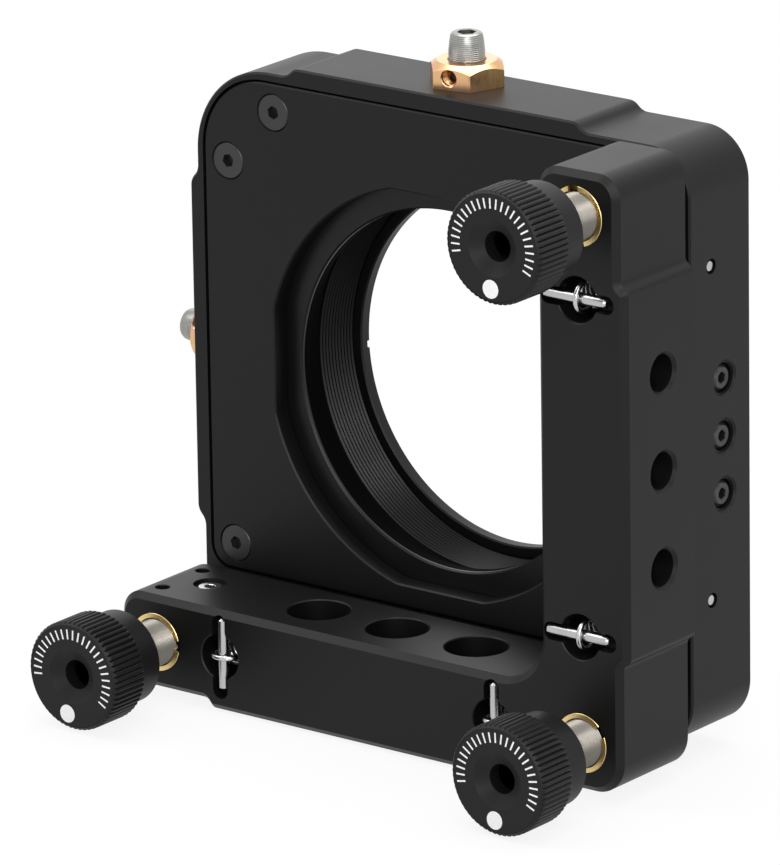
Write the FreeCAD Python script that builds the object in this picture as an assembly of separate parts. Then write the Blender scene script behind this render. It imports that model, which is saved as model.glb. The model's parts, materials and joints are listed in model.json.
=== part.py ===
import FreeCAD, Part
import math
import os
from FreeCAD import Vector

# Five-axis kinematic mount for a two inch optic, millimetres.
# X runs right, Y runs away from the knobs, Z runs up.
# The origin is on the optical axis, in the plane of the lip that the optic seats on.

# Optic cell, each radius and width stepped out from the optic bore
optic_bore_radius = 25.5
thread_relief_depth = 0.4
thread_relief_length = 4.0
lip_width = 1.56
aperture_chamfer = 0.22
lip_thickness = 1.8
bore_length = 13.0
bore_mouth_chamfer = 0.4
boss_wall = 1.5
boss_clearance = 0.5
cell_margin = 0.6
cell_corner_radius = 5.0
cell_flange_depth = 7.0
slide_gap = 0.1
pocket_clearance = 0.15
cell_travel = 1.0

# Retaining ring in the far end of the optic bore
ring_thickness = 1.8
ring_setback = 0.45
ring_clearance = 0.05
spanner_slot_width = 1.0
spanner_slot_depth = 0.6
spanner_slot_turn = 3.1

# Moving housing plate
housing_depth = 12.8
housing_edge = 5.07
recess_drop = 1.4
land_height = 1.2
housing_land_margin = 3.55
housing_ramp_run = 1.3
housing_ramp_radius = 2.0
housing_corner_radius = 6.35
housing_big_radius = 12.0
housing_edge_break = 0.25
cell_setback = 2.65

# Cover plate let into the front of the housing
cover_thickness = 2.54
cover_border = 1.35
cover_overlap = 0.6
cover_big_radius = 9.9
cover_corner_radius = 2.9
cover_groove = 0.3
opening_margin = 0.3
opening_flat_cut = 0.9
cover_edge_break = 0.2
cover_screw_inset = 3.8
cover_screw_edge = 3.45
cover_head_radius = 2.4
cover_head_cone = 1.2
cover_head_clearance = 0.08
cover_head_sink = 0.05
cover_screw_radius = 1.25
cover_screw_clearance = 0.15
cover_screw_length = 6.5
cover_hole_run_out = 0.5
cover_socket_flats = 1.6
cover_socket_depth = 1.0
cover_socket_turn = 20.0

# L-shaped front frame
frame_depth = 14.5
plate_gap = 2.35
adjuster_inset = 6.18
far_adjuster_inset = 4.82
arm_inside = 6.27
arm_outside = 6.22
frame_land_height = 1.15
arm_end = 5.78
frame_land_low = 23.55
frame_land_high = 25.2
frame_ramp_run = 0.9
frame_ramp_radius = 1.0
arm_end_radius = 3.2
frame_corner_radius = 4.4
inner_corner_radius = 6.35
frame_chamfer = 0.82
frame_edge_break = 0.25

# Post holes through each arm
hole_spacing = 12.7
hole_depth_in_frame = 7.9
post_hole_radius = 2.42
post_hole_chamfer = 0.42
counterbore_radius = 4.12
counterbore_depth = 5.2

# Adjuster lock screws and spare tapped holes
lock_hole_radius = 1.72
lock_thread_clearance = 0.02
lock_mouth_radius = 2.2
lock_mouth_depth = 0.5
lock_offset = 2.65
lock_depth_in_frame = 8.2
lock_screw_length = 1.9
lock_end_chamfer = 0.2
lock_socket_flats = 1.3
lock_socket_depth = 1.14
tapped_hole_radius = 0.95
tapped_hole_depth = 4.0
tapped_hole_inset = 4.3
tapped_hole_centre = 7.72
tapped_hole_half_spacing = 4.16

# Adjuster bushings and screws
bushing_radius = 3.97
bushing_length = 12.5
bushing_seat_step = 0.5
bushing_rim_break = 0.12
bushing_chamfer = 0.3
bushing_notch_width = 1.5
bushing_notch_depth = 0.8
bushing_notch_angles = {"top": 104.0, "corner": 33.0, "left": 1.0}
screw_radius = 3.175
screw_reach = 13.9
thread_clearance = 0.05
screw_head_chamfer = 0.3
screw_tip_chamfer = 0.4
screw_end_setback = 0.9
screw_socket_flats = 3.2
screw_socket_depth = 3.0
foot_radius = 2.6
foot_length = 3.2
foot_clearance = 0.05
foot_end_setback = 0.7
ball_radius = 2.38
ball_clearance = 0.03
ball_centre_in_gap = 1.18

# Knobs
knob_length = 8.6
knob_standoff_top = 8.45
knob_standoff_corner = 8.83
knob_standoff_left = 8.37
knob_radius = 7.25
knob_flutes = 60
flute_depth = 0.32
knurl_runout_length = 0.3
knurl_runout_depth = 0.4
knob_collar_radius = 6.95
knob_collar_length = 1.35
knob_collar_chamfer = 0.25
knob_front_radius = 6.75
knob_front_chamfer = 0.45
knob_mouth_radius = 3.6
knob_mouth_depth = 1.0
knob_key_hole_radius = 1.95
knob_nose = 3.0

# Ball seats, the swinging ones clear of the housing by a little
seat_radius = 4.0
seat_depth = 3.2
seat_clearance = 0.05
seat_swing_clearance = 0.12
flat_seat_recess_radius = 3.0

# Extension springs between frame and housing
spring_well_radius = 3.0
spring_low = 20.95
spring_high = 22.9
pin_slot_length = 11.3
pin_slot_width = 2.4
pin_slot_depth = 1.65
pin_radius = 0.75
pin_length = 9.6
pin_end_chamfer = 0.25
pin_shift_upright = 0.7
pin_shift_foot = 0.45
spring_radius = 2.2
spring_wire_radius = 0.36
rear_pin_depth = -0.03
rear_pin_radius = 0.72
rear_pin_past_spring = 4.03
rear_pin_sink = 0.1
rear_pin_end_chamfer = 0.15
rear_pin_mouth_radius = 1.0
rear_pin_mouth_depth = 0.6
rear_well_margin = 1.6

# Cross-slide actuators
actuator_depth = 2.8
actuator_radius = 2.38
actuator_reach = 6.7
actuator_taper_length = 2.3
actuator_nose_radius = 2.2
actuator_nose_length = 0.6
actuator_rim_radius = 2.02
actuator_rim_length = 0.15
actuator_end_radius = 1.75
actuator_socket_flats = 2.2
actuator_socket_depth = 2.4
actuator_cup_setback = 0.15
thrust_ball_radius = 1.5
thrust_pad_radius = 2.2
thrust_pad_thickness = 0.9
contact_gap = 0.05
nut_flats = 9.05
nut_height = 3.2
nut_chamfer_radius = 3.88
nut_chamfer_drop = 1.0
nut_turn_side = 21.7
nut_turn_vertical = -11.5
nut_hole_radius = 1.03
nut_hole_height = 1.62
nut_hole_shift = 0.4
nut_countersink = 0.1

# Spring plungers that push the cell against the actuators
plunger_spacing = 7.62
plunger_radius = 1.6
plunger_length = 4.0
plunger_clearance = 0.05
plunger_end_round = 0.5
plunger_bore_depth = 2.1
plunger_spring_room = 2.4
plunger_spring_entry = 1.0
plunger_spring_clearance = 0.05
plunger_spring_radius = 1.2
plunger_spring_wire = 0.3
socket_screw_radius = 1.97
socket_screw_recess = 0.45
socket_screw_chamfer = 0.6
socket_screw_flats = 1.35
socket_screw_hole_depth = 1.4
socket_screw_run_out = 0.5
socket_mouth_radius = 2.15
socket_mouth_chamfer = 0.3

# Cutting bodies run past the surfaces they open by this much
cut_margin = 1.0

# Depth planes along Y, worked out from the seat plane
cell_front = -lip_thickness
housing_front = cell_front - cell_setback
housing_back = housing_front + housing_depth
frame_back = housing_front - plate_gap
frame_front = frame_back - frame_depth
cell_flange_back = cell_front + cell_flange_depth
pocket_floor = cell_flange_back + slide_gap
ball_centre = frame_back + ball_centre_in_gap
screw_head = frame_front - screw_reach
screw_end = ball_centre - screw_end_setback

# Places across the face, stepped out from the optic bore
aperture_radius = optic_bore_radius - lip_width
relief_radius = optic_bore_radius + thread_relief_depth
boss_radius = optic_bore_radius + boss_wall
cell_half = boss_radius + cell_margin
pocket_half = cell_half + cell_travel + pocket_clearance
optic_offset = pocket_half + adjuster_inset
far_offset = pocket_half + far_adjuster_inset
housing_side = optic_offset + housing_edge
housing_recess = housing_side - recess_drop
housing_land = housing_recess + land_height
housing_land_half = housing_recess - housing_big_radius - housing_land_margin
cover_low = housing_recess - cover_border
cover_high = pocket_half + cover_overlap
cover_screw_side = cover_high - cover_screw_edge
opening_radius = boss_radius + opening_margin
opening_flat = opening_radius - opening_flat_cut
arm_inner = optic_offset - arm_inside
arm_outer = optic_offset + arm_outside
frame_land = arm_outer + frame_land_height
arm_tip = far_offset + arm_end
rear_pin_length = housing_side - rear_pin_sink - optic_offset + rear_pin_past_spring
plunger_start = cell_half + contact_gap
plunger_end = plunger_start + plunger_length
socket_screw_end = plunger_end + plunger_spring_room
thrust_ball_centre = cell_half + contact_gap + thrust_ball_radius
adjusters = {
    "top": (optic_offset, far_offset),
    "corner": (optic_offset, -optic_offset),
    "left": (-far_offset, -optic_offset),
}
knob_standoffs = {"top": knob_standoff_top, "corner": knob_standoff_corner, "left": knob_standoff_left}
swinging_seats = ("top", "corner")

X_AXIS = Vector(1, 0, 0)
Y_AXIS = Vector(0, 1, 0)
Z_AXIS = Vector(0, 0, 1)
ORIGIN = Vector(0, 0, 0)


def rounded_outline(points, y):
    """Closed wire in the plane at y through (x, z, radius) corners."""
    count = len(points)
    corners = []
    for i, (x, z, radius) in enumerate(points):
        here = Vector(x, y, z)
        before = points[i - 1]
        after = points[(i + 1) % count]
        to_before = (Vector(before[0], y, before[1]) - here).normalize()
        to_after = (Vector(after[0], y, after[1]) - here).normalize()
        if radius == 0:
            corners.append((here, None, here))
            continue
        half = to_before.getAngle(to_after) / 2
        reach = radius / math.tan(half)
        bisector = (to_before + to_after).normalize()
        centre = here + bisector * (radius / math.sin(half))
        middle = centre - bisector * radius
        corners.append((here + to_before * reach, middle, here + to_after * reach))
    edges = []
    for i in range(count):
        start, middle, end = corners[i]
        if middle is not None:
            edges.append(Part.Arc(start, middle, end).toShape())
        following = corners[(i + 1) % count][0]
        if not end.isEqual(following, 1e-6):
            edges.append(Part.makeLine(end, following))
    return Part.Wire(edges)


def slab(points, y_low, y_high):
    """Solid of a rounded outline between two depth planes."""
    face = Part.Face(rounded_outline(points, y_low))
    return face.extrude(Vector(0, y_high - y_low, 0))


def rod(radius, start, direction, length):
    """Cylinder from a start point along a direction."""
    return Part.makeCylinder(radius, length, start, direction)


def y_rod(radius, place, y_low, y_high):
    """Cylinder along Y at a place (x, z)."""
    return rod(radius, Vector(place[0], y_low, place[1]), Y_AXIS, y_high - y_low)


def y_cone(radius_low, radius_high, place, y_low, y_high):
    """Cone along Y at a place (x, z)."""
    base = Vector(place[0], y_low, place[1])
    return Part.makeCone(radius_low, radius_high, y_high - y_low, base, Y_AXIS)


def hexagon(flats, centre, direction, length, turn=0.0):
    """Hexagonal prism about an axis."""
    corner = flats / math.sqrt(3)
    points = []
    for i in range(7):
        angle = math.radians(60 * i + turn)
        points.append(Vector(corner * math.cos(angle), corner * math.sin(angle), 0))
    prism = Part.Face(Part.makePolygon(points)).extrude(Vector(0, 0, length))
    prism.Placement = FreeCAD.Placement(centre, FreeCAD.Rotation(Z_AXIS, direction))
    return prism


def edges_at(shape, y):
    """Edges of a shape that lie wholly in the plane at y."""
    found = []
    for edge in shape.Edges:
        box = edge.BoundBox
        if abs(box.YMin - y) < 1e-5 and abs(box.YMax - y) < 1e-5:
            found.append(edge)
    return found


def rims_near(shape, point):
    """Round edges of a rod about a point on its axis."""
    return [e for e in shape.Edges if e.Closed and e.CenterOfMass.isEqual(point, 0.01)]


def mirror_diagonal(shape):
    """Swap X and -Z, which carries each side feature to its partner on the other arm."""
    return shape.mirror(ORIGIN, Vector(1, 0, 1))


def land_corners(recess, land, low, high, run, radius):
    """Corners of a raised land on a side, from its low end to its high end."""
    return [
        (recess, low - run / 2, radius),
        (land, low + run / 2, radius),
        (land, high - run / 2, radius),
        (recess, high + run / 2, radius),
    ]


def revolve_profile(points, place, y_base):
    """Turned solid about an axis along Y, from (radius, y) corners."""
    corners = [Vector(place[0] + r, y_base + y, place[1]) for r, y in points]
    face = Part.Face(Part.makePolygon(corners + [corners[0]]))
    return face.revolve(Vector(place[0], 0, place[1]), Y_AXIS, 360)


def frame_outline():
    """Corners of the L, clockwise from the foot of the right side."""
    low, high = -frame_land_low, frame_land_high
    side = land_corners(arm_outer, frame_land, low, high, frame_ramp_run, frame_ramp_radius)
    foot = [(-z, -x, r) for x, z, r in reversed(side)]
    return (
        [(arm_outer, -arm_outer, frame_corner_radius)]
        + side
        + [
            (arm_outer, arm_tip, arm_end_radius),
            (arm_inner, arm_tip, arm_end_radius),
            (arm_inner, -arm_inner, inner_corner_radius),
            (-arm_tip, -arm_inner, arm_end_radius),
            (-arm_tip, -arm_outer, arm_end_radius),
        ]
        + foot
    )


def spring_places():
    """Spring wells as (x, z, pin direction, pin shift)."""
    return [
        (optic_offset, spring_high, X_AXIS, pin_shift_upright),
        (optic_offset, -spring_low, X_AXIS, pin_shift_upright),
        (-spring_high, -optic_offset, Z_AXIS, pin_shift_foot),
        (spring_low, -optic_offset, Z_AXIS, pin_shift_foot),
    ]


def pin_slot(place, direction, y_low, y_high):
    """Round-ended slot that a spring pin lies in."""
    reach = pin_slot_length / 2 - pin_slot_width / 2
    centre = Vector(place[0], y_low, place[1])
    ends = [centre + direction * reach, centre - direction * reach]
    across = Y_AXIS.cross(direction) * (pin_slot_width / 2)
    corners = [ends[0] + across, ends[1] + across, ends[1] - across, ends[0] - across]
    body = Part.Face(Part.makePolygon(corners + [corners[0]])).extrude(Vector(0, y_high - y_low, 0))
    for end in ends:
        body = body.fuse(rod(pin_slot_width / 2, end, Y_AXIS, y_high - y_low))
    return body


def front_pin(place, direction, shift):
    """Cross pin in its slot, which a spring hooks over."""
    y = frame_front + pin_slot_depth - pin_radius
    start = Vector(place[0], y, place[1]) - direction * (pin_length / 2 + shift)
    pin = rod(pin_radius, start, direction, pin_length)
    return pin.makeChamfer(pin_end_chamfer, [e for e in pin.Edges if e.Closed])


def rear_pin_start(place, direction):
    """Mouth and inward direction of a rear pin's hole in the housing's side."""
    if direction.x:
        return Vector(housing_side, rear_pin_depth, place[1]), -X_AXIS
    return Vector(place[0], rear_pin_depth, -housing_side), Z_AXIS


def rear_pin(place, direction):
    """Dowel through the housing wall, which a spring hooks over."""
    outside, inward = rear_pin_start(place, direction)
    pin = rod(rear_pin_radius, outside + inward * rear_pin_sink, inward, rear_pin_length)
    return pin.makeChamfer(rear_pin_end_chamfer, [e for e in pin.Edges if e.Closed])


def side_post_holes():
    """Counterbored post holes through the upright arm, as one cutting shape."""
    cutters = []
    y = frame_front + hole_depth_in_frame
    for step in (-1, 0, 1):
        outer = Vector(frame_land, y, step * hole_spacing)
        cutters.append(rod(post_hole_radius, outer, -X_AXIS, frame_land - arm_inner))
        mouth = post_hole_radius + post_hole_chamfer
        cutters.append(Part.makeCone(mouth, post_hole_radius, post_hole_chamfer, outer, -X_AXIS))
        inner = Vector(arm_inner, y, step * hole_spacing)
        cutters.append(rod(counterbore_radius, inner, X_AXIS, counterbore_depth))
    return Part.makeCompound(cutters)


def lock_place(name):
    """Mouth point and inward direction of an adjuster's lock screw."""
    x, z = adjusters[name]
    y = frame_front + lock_depth_in_frame
    if name == "top":
        return Vector(arm_inner, y, z - lock_offset), X_AXIS
    if name == "left":
        return Vector(x + lock_offset, y, -arm_inner), -Z_AXIS
    return Vector(x - lock_offset, y, -arm_outer), Z_AXIS


def lock_reach(name):
    """Distance from a lock screw's mouth to the bushing it clamps."""
    wall = arm_outside if name == "corner" else arm_inside
    return wall - bushing_radius


def make_frame():
    body = slab(frame_outline(), frame_front, frame_back)
    body = body.makeChamfer(frame_chamfer, edges_at(body, frame_front))
    body = body.makeChamfer(frame_edge_break, edges_at(body, frame_back))
    cutters = [side_post_holes(), mirror_diagonal(side_post_holes())]
    for name, place in adjusters.items():
        cutters.append(y_rod(bushing_radius, place, frame_front, frame_front + bushing_length))
        cutters.append(y_rod(bushing_radius - bushing_seat_step, place, frame_front, frame_back))
        mouth, inward = lock_place(name)
        cutters.append(rod(lock_hole_radius, mouth, inward, lock_reach(name) + bushing_radius / 2))
        cutters.append(rod(lock_mouth_radius, mouth, inward, lock_mouth_depth))
    for x, z, direction, shift in spring_places():
        cutters.append(y_rod(spring_well_radius, (x, z), frame_front, frame_back))
        cutters.append(pin_slot((x, z), direction, frame_front, frame_front + pin_slot_depth))
    for side in (-1, 1):
        y = frame_front + tapped_hole_centre + side * tapped_hole_half_spacing
        start = Vector(tapped_hole_inset - arm_tip, y, -arm_inner)
        hole = rod(tapped_hole_radius, start, -Z_AXIS, tapped_hole_depth)
        cutters.append(hole)
        cutters.append(mirror_diagonal(hole))
    return body.cut(cutters)


def make_bushing(name):
    x, z = adjusters[name]
    bore = screw_radius + thread_clearance
    body = revolve_profile(
        [
            (bore + bushing_chamfer, 0),
            (bushing_radius - bushing_rim_break, 0),
            (bushing_radius, bushing_rim_break),
            (bushing_radius, bushing_length),
            (bore, bushing_length),
            (bore, bushing_chamfer),
        ],
        (x, z),
        frame_front,
    )
    half_length = bushing_radius + cut_margin
    corner = Vector(-half_length, 0, -bushing_notch_width / 2)
    notch = Part.makeBox(2 * half_length, bushing_notch_depth, bushing_notch_width, corner)
    notch.rotate(ORIGIN, Y_AXIS, -bushing_notch_angles[name])
    notch.translate(Vector(x, frame_front, z))
    return body.cut(notch)


def make_lock_screw(name):
    mouth, inward = lock_place(name)
    seat = mouth + inward * (lock_reach(name) - contact_gap - lock_screw_length)
    body = rod(lock_hole_radius - lock_thread_clearance, seat, inward, lock_screw_length)
    body = body.makeChamfer(lock_end_chamfer, rims_near(body, seat))
    return body.cut(hexagon(lock_socket_flats, seat, inward, lock_socket_depth))


def make_adjuster_screw(place):
    length = screw_end - screw_head
    body = revolve_profile(
        [
            (0, 0),
            (screw_radius - screw_head_chamfer, 0),
            (screw_radius, screw_head_chamfer),
            (screw_radius, length - screw_tip_chamfer),
            (screw_radius - screw_tip_chamfer, length),
            (0, length),
        ],
        place,
        screw_head,
    )
    socket = hexagon(screw_socket_flats, Vector(place[0], screw_head, place[1]), Y_AXIS, screw_socket_depth)
    foot_bore = y_rod(foot_radius + foot_clearance, place, screw_end - foot_length, screw_end)
    return body.cut([socket, foot_bore])


def make_foot(place):
    """Swivel foot in the screw's end, cupped for its ball."""
    body = y_rod(foot_radius, place, screw_end - foot_length + foot_clearance, ball_centre - foot_end_setback)
    cup = Part.makeSphere(ball_radius + ball_clearance, Vector(place[0], ball_centre, place[1]))
    return body.cut(cup)


def make_ball(place):
    return Part.makeSphere(ball_radius, Vector(place[0], ball_centre, place[1]))


def knurl_wire(y):
    """Star outline of the straight flutes."""
    points = []
    for i in range(2 * knob_flutes):
        radius = knob_radius if i % 2 == 0 else knob_radius - flute_depth
        angle = math.pi * i / knob_flutes
        points.append(Vector(radius * math.cos(angle), y, radius * math.sin(angle)))
    return Part.makePolygon(points + [points[0]])


def make_knob(name):
    x, z = adjusters[name]
    knurl_end = knob_length - knob_collar_length
    knurl = Part.Face(knurl_wire(0)).extrude(Vector(0, knurl_end, 0))
    envelope = revolve_profile(
        [
            (0, 0),
            (knob_front_radius, 0),
            (knob_radius, knob_front_chamfer),
            (knob_radius, knurl_end - knurl_runout_length),
            (knob_radius - knurl_runout_depth, knurl_end),
            (0, knurl_end),
        ],
        (0, 0),
        0,
    )
    collar = revolve_profile(
        [
            (0, knurl_end),
            (knob_collar_radius, knurl_end),
            (knob_collar_radius, knob_length - knob_collar_chamfer),
            (knob_collar_radius - knob_collar_chamfer, knob_length),
            (0, knob_length),
        ],
        (0, 0),
        0,
    )
    bore = revolve_profile(
        [
            (0, 0),
            (knob_mouth_radius, 0),
            (knob_key_hole_radius, knob_mouth_depth),
            (knob_key_hole_radius, knob_nose),
            (screw_radius, knob_nose),
            (screw_radius, knob_length),
            (0, knob_length),
        ],
        (0, 0),
        0,
    )
    body = knurl.common(envelope).fuse(collar).cut(bore)
    body.translate(Vector(x, frame_front - knob_standoffs[name] - knob_length, z))
    return body


def make_extension_spring(place, direction):
    """Coiled length as a sleeve, with a round hook at each end."""
    x, z = place
    hook_radius = spring_radius - spring_wire_radius
    front_hook = frame_front + pin_slot_depth - 2 * pin_radius - spring_wire_radius + hook_radius
    back_hook = rear_pin_depth + rear_pin_radius + spring_wire_radius - hook_radius
    y_start = front_hook + hook_radius - spring_wire_radius
    y_end = back_hook - hook_radius + spring_wire_radius
    body = y_rod(spring_radius, place, y_start, y_end)
    body = body.cut(y_rod(spring_radius - 2 * spring_wire_radius, place, y_start, y_end))
    for y in (front_hook, back_hook):
        body = body.fuse(Part.makeTorus(hook_radius, spring_wire_radius, Vector(x, y, z), direction))
    return body


def housing_outline():
    """Corners of the housing, from the bottom right round to the bottom left."""
    half = housing_land_half
    side = land_corners(housing_recess, housing_land, -half, half, housing_ramp_run, housing_ramp_radius)
    left = [(-out, along, radius) for out, along, radius in reversed(side)]
    top = [(-along, out, radius) for out, along, radius in side]
    return (
        [(housing_side, -housing_side, housing_corner_radius)]
        + [(housing_side, housing_recess, housing_corner_radius)]
        + top
        + [(-housing_recess, housing_recess, housing_big_radius)]
        + left
        + [(-housing_recess, -housing_side, housing_corner_radius)]
    )


def cover_outline(grow):
    """Corners of the cover plate, or of its recess when grown."""
    low = -cover_low - grow
    high = cover_high + grow
    small = cover_corner_radius + grow
    return [
        (high, -high, small),
        (high, -low, small),
        (low, -low, cover_big_radius + grow),
        (low, -high, small),
    ]


def cover_screw_places():
    """Four screws as (x, z): one at each plain corner and two beside the round one."""
    far = cover_low - cover_screw_inset
    near = cover_screw_side
    return [(-near, far), (-far, near), (-far, -near), (near, far)]


def square_outline(half, radius):
    return [(half, -half, radius), (half, half, radius), (-half, half, radius), (-half, -half, radius)]


def plunger_holes():
    """Stepped bores for the plungers through the right wall, as one cutting shape."""
    cutters = []
    for step in (-1, 0, 1):
        start = Vector(housing_side, actuator_depth, step * plunger_spacing)
        mouth = socket_mouth_radius + socket_mouth_chamfer
        cutters.append(rod(socket_mouth_radius, start, -X_AXIS, socket_screw_recess))
        cutters.append(Part.makeCone(mouth, socket_mouth_radius, socket_mouth_chamfer, start, -X_AXIS))
        tapped_length = housing_side - socket_screw_end + socket_screw_run_out
        cutters.append(rod(socket_screw_radius, start, -X_AXIS, tapped_length))
        bore_depth = housing_side - pocket_half + cut_margin
        cutters.append(rod(plunger_radius + plunger_clearance, start, -X_AXIS, bore_depth))
    return Part.makeCompound(cutters)


def side_actuator_hole():
    """Threaded hole for the side actuator, through the left wall."""
    start = Vector(-housing_land, actuator_depth, 0)
    return rod(actuator_radius + thread_clearance, start, X_AXIS, housing_land - pocket_half + cut_margin)


def make_housing():
    body = slab(housing_outline(), housing_front, housing_back)
    body = body.makeChamfer(housing_edge_break, edges_at(body, housing_front))
    body = body.makeChamfer(housing_edge_break, edges_at(body, housing_back))
    recess_floor = housing_front + cover_thickness
    boss_hole_radius = boss_radius + cell_travel + boss_clearance
    cutters = [
        slab(cover_outline(cover_groove), housing_front, recess_floor),
        slab(square_outline(pocket_half, cell_corner_radius), recess_floor, pocket_floor),
        y_rod(boss_hole_radius, (0, 0), pocket_floor, housing_back),
        plunger_holes(),
        mirror_diagonal(plunger_holes()),
        side_actuator_hole(),
        mirror_diagonal(side_actuator_hole()),
    ]
    hole_end = housing_front + cover_screw_length + cover_hole_run_out
    for place in cover_screw_places():
        cutters.append(y_rod(cover_screw_radius, place, housing_front, hole_end))
    for name, place in adjusters.items():
        swing = seat_swing_clearance if name in swinging_seats else 0.0
        cutters.append(y_rod(seat_radius + swing, place, housing_front, housing_front + seat_depth + swing))
    well_end = rear_pin_depth + rear_pin_radius + rear_well_margin
    for x, z, direction, shift in spring_places():
        cutters.append(y_rod(spring_well_radius, (x, z), housing_front, well_end))
        outside, inward = rear_pin_start((x, z), direction)
        cutters.append(rod(rear_pin_radius, outside, inward, rear_pin_sink + rear_pin_length))
        cutters.append(rod(rear_pin_mouth_radius, outside, inward, rear_pin_mouth_depth))
    return body.cut(cutters)


def make_cover():
    cover_back = housing_front + cover_thickness
    body = slab(cover_outline(0), housing_front, cover_back)
    hole = y_rod(opening_radius, (0, 0), housing_front, cover_back)
    window = slab(square_outline(opening_flat, 0), housing_front, cover_back)
    body = body.cut(hole.common(window))
    body = body.makeChamfer(cover_edge_break, edges_at(body, housing_front))
    shank = cover_screw_radius + cover_screw_clearance
    head = cover_head_radius + cover_head_clearance
    cutters = []
    for place in cover_screw_places():
        cutters.append(y_rod(shank, place, housing_front, cover_back))
        cutters.append(y_cone(head, shank, place, housing_front, housing_front + cover_head_cone))
    return body.cut(cutters)


def make_cover_screw(place):
    body = revolve_profile(
        [
            (0, 0),
            (cover_head_radius, 0),
            (cover_screw_radius, cover_head_cone),
            (cover_screw_radius, cover_screw_length),
            (0, cover_screw_length),
        ],
        place,
        housing_front + cover_head_sink,
    )
    start = Vector(place[0], housing_front, place[1])
    return body.cut(hexagon(cover_socket_flats, start, Y_AXIS, cover_socket_depth, cover_socket_turn))


def seat_blank(place):
    return y_rod(seat_radius, place, housing_front, housing_front + seat_depth)


def make_cone_seat():
    place = adjusters["corner"]
    apex = ball_centre + (ball_radius + seat_clearance) * math.sqrt(2)
    mouth = apex - housing_front
    base = Vector(place[0], housing_front, place[1])
    return seat_blank(place).cut(Part.makeCone(mouth, 0, mouth, base, Y_AXIS))


def make_vee_seat():
    x, z = adjusters["top"]
    apex = ball_centre + (ball_radius + seat_clearance) * math.sqrt(2)
    mouth = apex - housing_front
    corners = [
        Vector(x - mouth, housing_front, z - seat_radius),
        Vector(x, apex, z - seat_radius),
        Vector(x + mouth, housing_front, z - seat_radius),
    ]
    groove = Part.Face(Part.makePolygon(corners + [corners[0]])).extrude(Z_AXIS * (2 * seat_radius))
    return seat_blank((x, z)).cut(groove)


def make_flat_seat():
    place = adjusters["left"]
    floor = ball_centre + ball_radius + seat_clearance
    return seat_blank(place).cut(y_rod(flat_seat_recess_radius, place, housing_front, floor))


def make_cell():
    flange = slab(square_outline(cell_half, cell_corner_radius), cell_front, cell_flange_back)
    body = flange.fuse(y_rod(boss_radius, (0, 0), cell_flange_back, bore_length))
    bore = revolve_profile(
        [
            (0, -lip_thickness),
            (aperture_radius + aperture_chamfer, -lip_thickness),
            (aperture_radius, -lip_thickness + aperture_chamfer),
            (aperture_radius, 0),
            (relief_radius, 0),
            (relief_radius, thread_relief_length),
            (optic_bore_radius, thread_relief_length),
            (optic_bore_radius, bore_length - bore_mouth_chamfer),
            (optic_bore_radius + bore_mouth_chamfer, bore_length),
            (0, bore_length),
        ],
        (0, 0),
        0,
    )
    pad = make_thrust_pad()
    return body.cut([bore, pad, mirror_diagonal(pad)])


def make_retaining_ring():
    y_end = bore_length - ring_setback
    y_start = y_end - ring_thickness
    outer = y_rod(optic_bore_radius - ring_clearance, (0, 0), y_start, y_end)
    body = outer.cut(y_rod(aperture_radius, (0, 0), y_start, y_end))
    half_length = optic_bore_radius + cut_margin
    corner = Vector(-half_length, y_end - spanner_slot_depth, -spanner_slot_width / 2)
    slot = Part.makeBox(2 * half_length, spanner_slot_depth, spanner_slot_width, corner)
    slot.rotate(ORIGIN, Y_AXIS, -spanner_slot_turn)
    return body.cut(slot)


def make_thrust_pad():
    """Hard disc let into the left side of the cell."""
    start = Vector(-cell_half, actuator_depth, 0)
    return rod(thrust_pad_radius, start, X_AXIS, thrust_pad_thickness)


def make_plungers():
    """Three round-nosed pins that press on the right side of the cell, bored for their springs."""
    bore_radius = plunger_spring_radius + plunger_spring_clearance
    pins = []
    for step in (-1, 0, 1):
        nose = Vector(plunger_start, actuator_depth, step * plunger_spacing)
        pin = rod(plunger_radius, nose, X_AXIS, plunger_length)
        pin = pin.makeFillet(plunger_end_round, rims_near(pin, nose))
        back = Vector(plunger_end, actuator_depth, step * plunger_spacing)
        pins.append(pin.cut(rod(bore_radius, back, -X_AXIS, plunger_bore_depth)))
    return Part.makeCompound(pins)


def make_plunger_springs():
    """Three compression springs that reach into the plungers, as sleeves."""
    inside = plunger_spring_radius - plunger_spring_wire
    length = plunger_spring_entry + plunger_spring_room
    springs = []
    for step in (-1, 0, 1):
        start = Vector(plunger_end - plunger_spring_entry, actuator_depth, step * plunger_spacing)
        outer = rod(plunger_spring_radius, start, X_AXIS, length)
        springs.append(outer.cut(rod(inside, start, X_AXIS, length)))
    return Part.makeCompound(springs)


def make_socket_screws():
    """Three headless socket screws that hold the plunger springs in."""
    head = housing_side - socket_screw_recess
    screws = []
    for step in (-1, 0, 1):
        start = Vector(head, actuator_depth, step * plunger_spacing)
        screw = rod(socket_screw_radius, start, -X_AXIS, head - socket_screw_end)
        screw = screw.makeChamfer(socket_screw_chamfer, rims_near(screw, start))
        screws.append(screw.cut(hexagon(socket_screw_flats, start, -X_AXIS, socket_screw_hole_depth)))
    return Part.makeCompound(screws)


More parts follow.
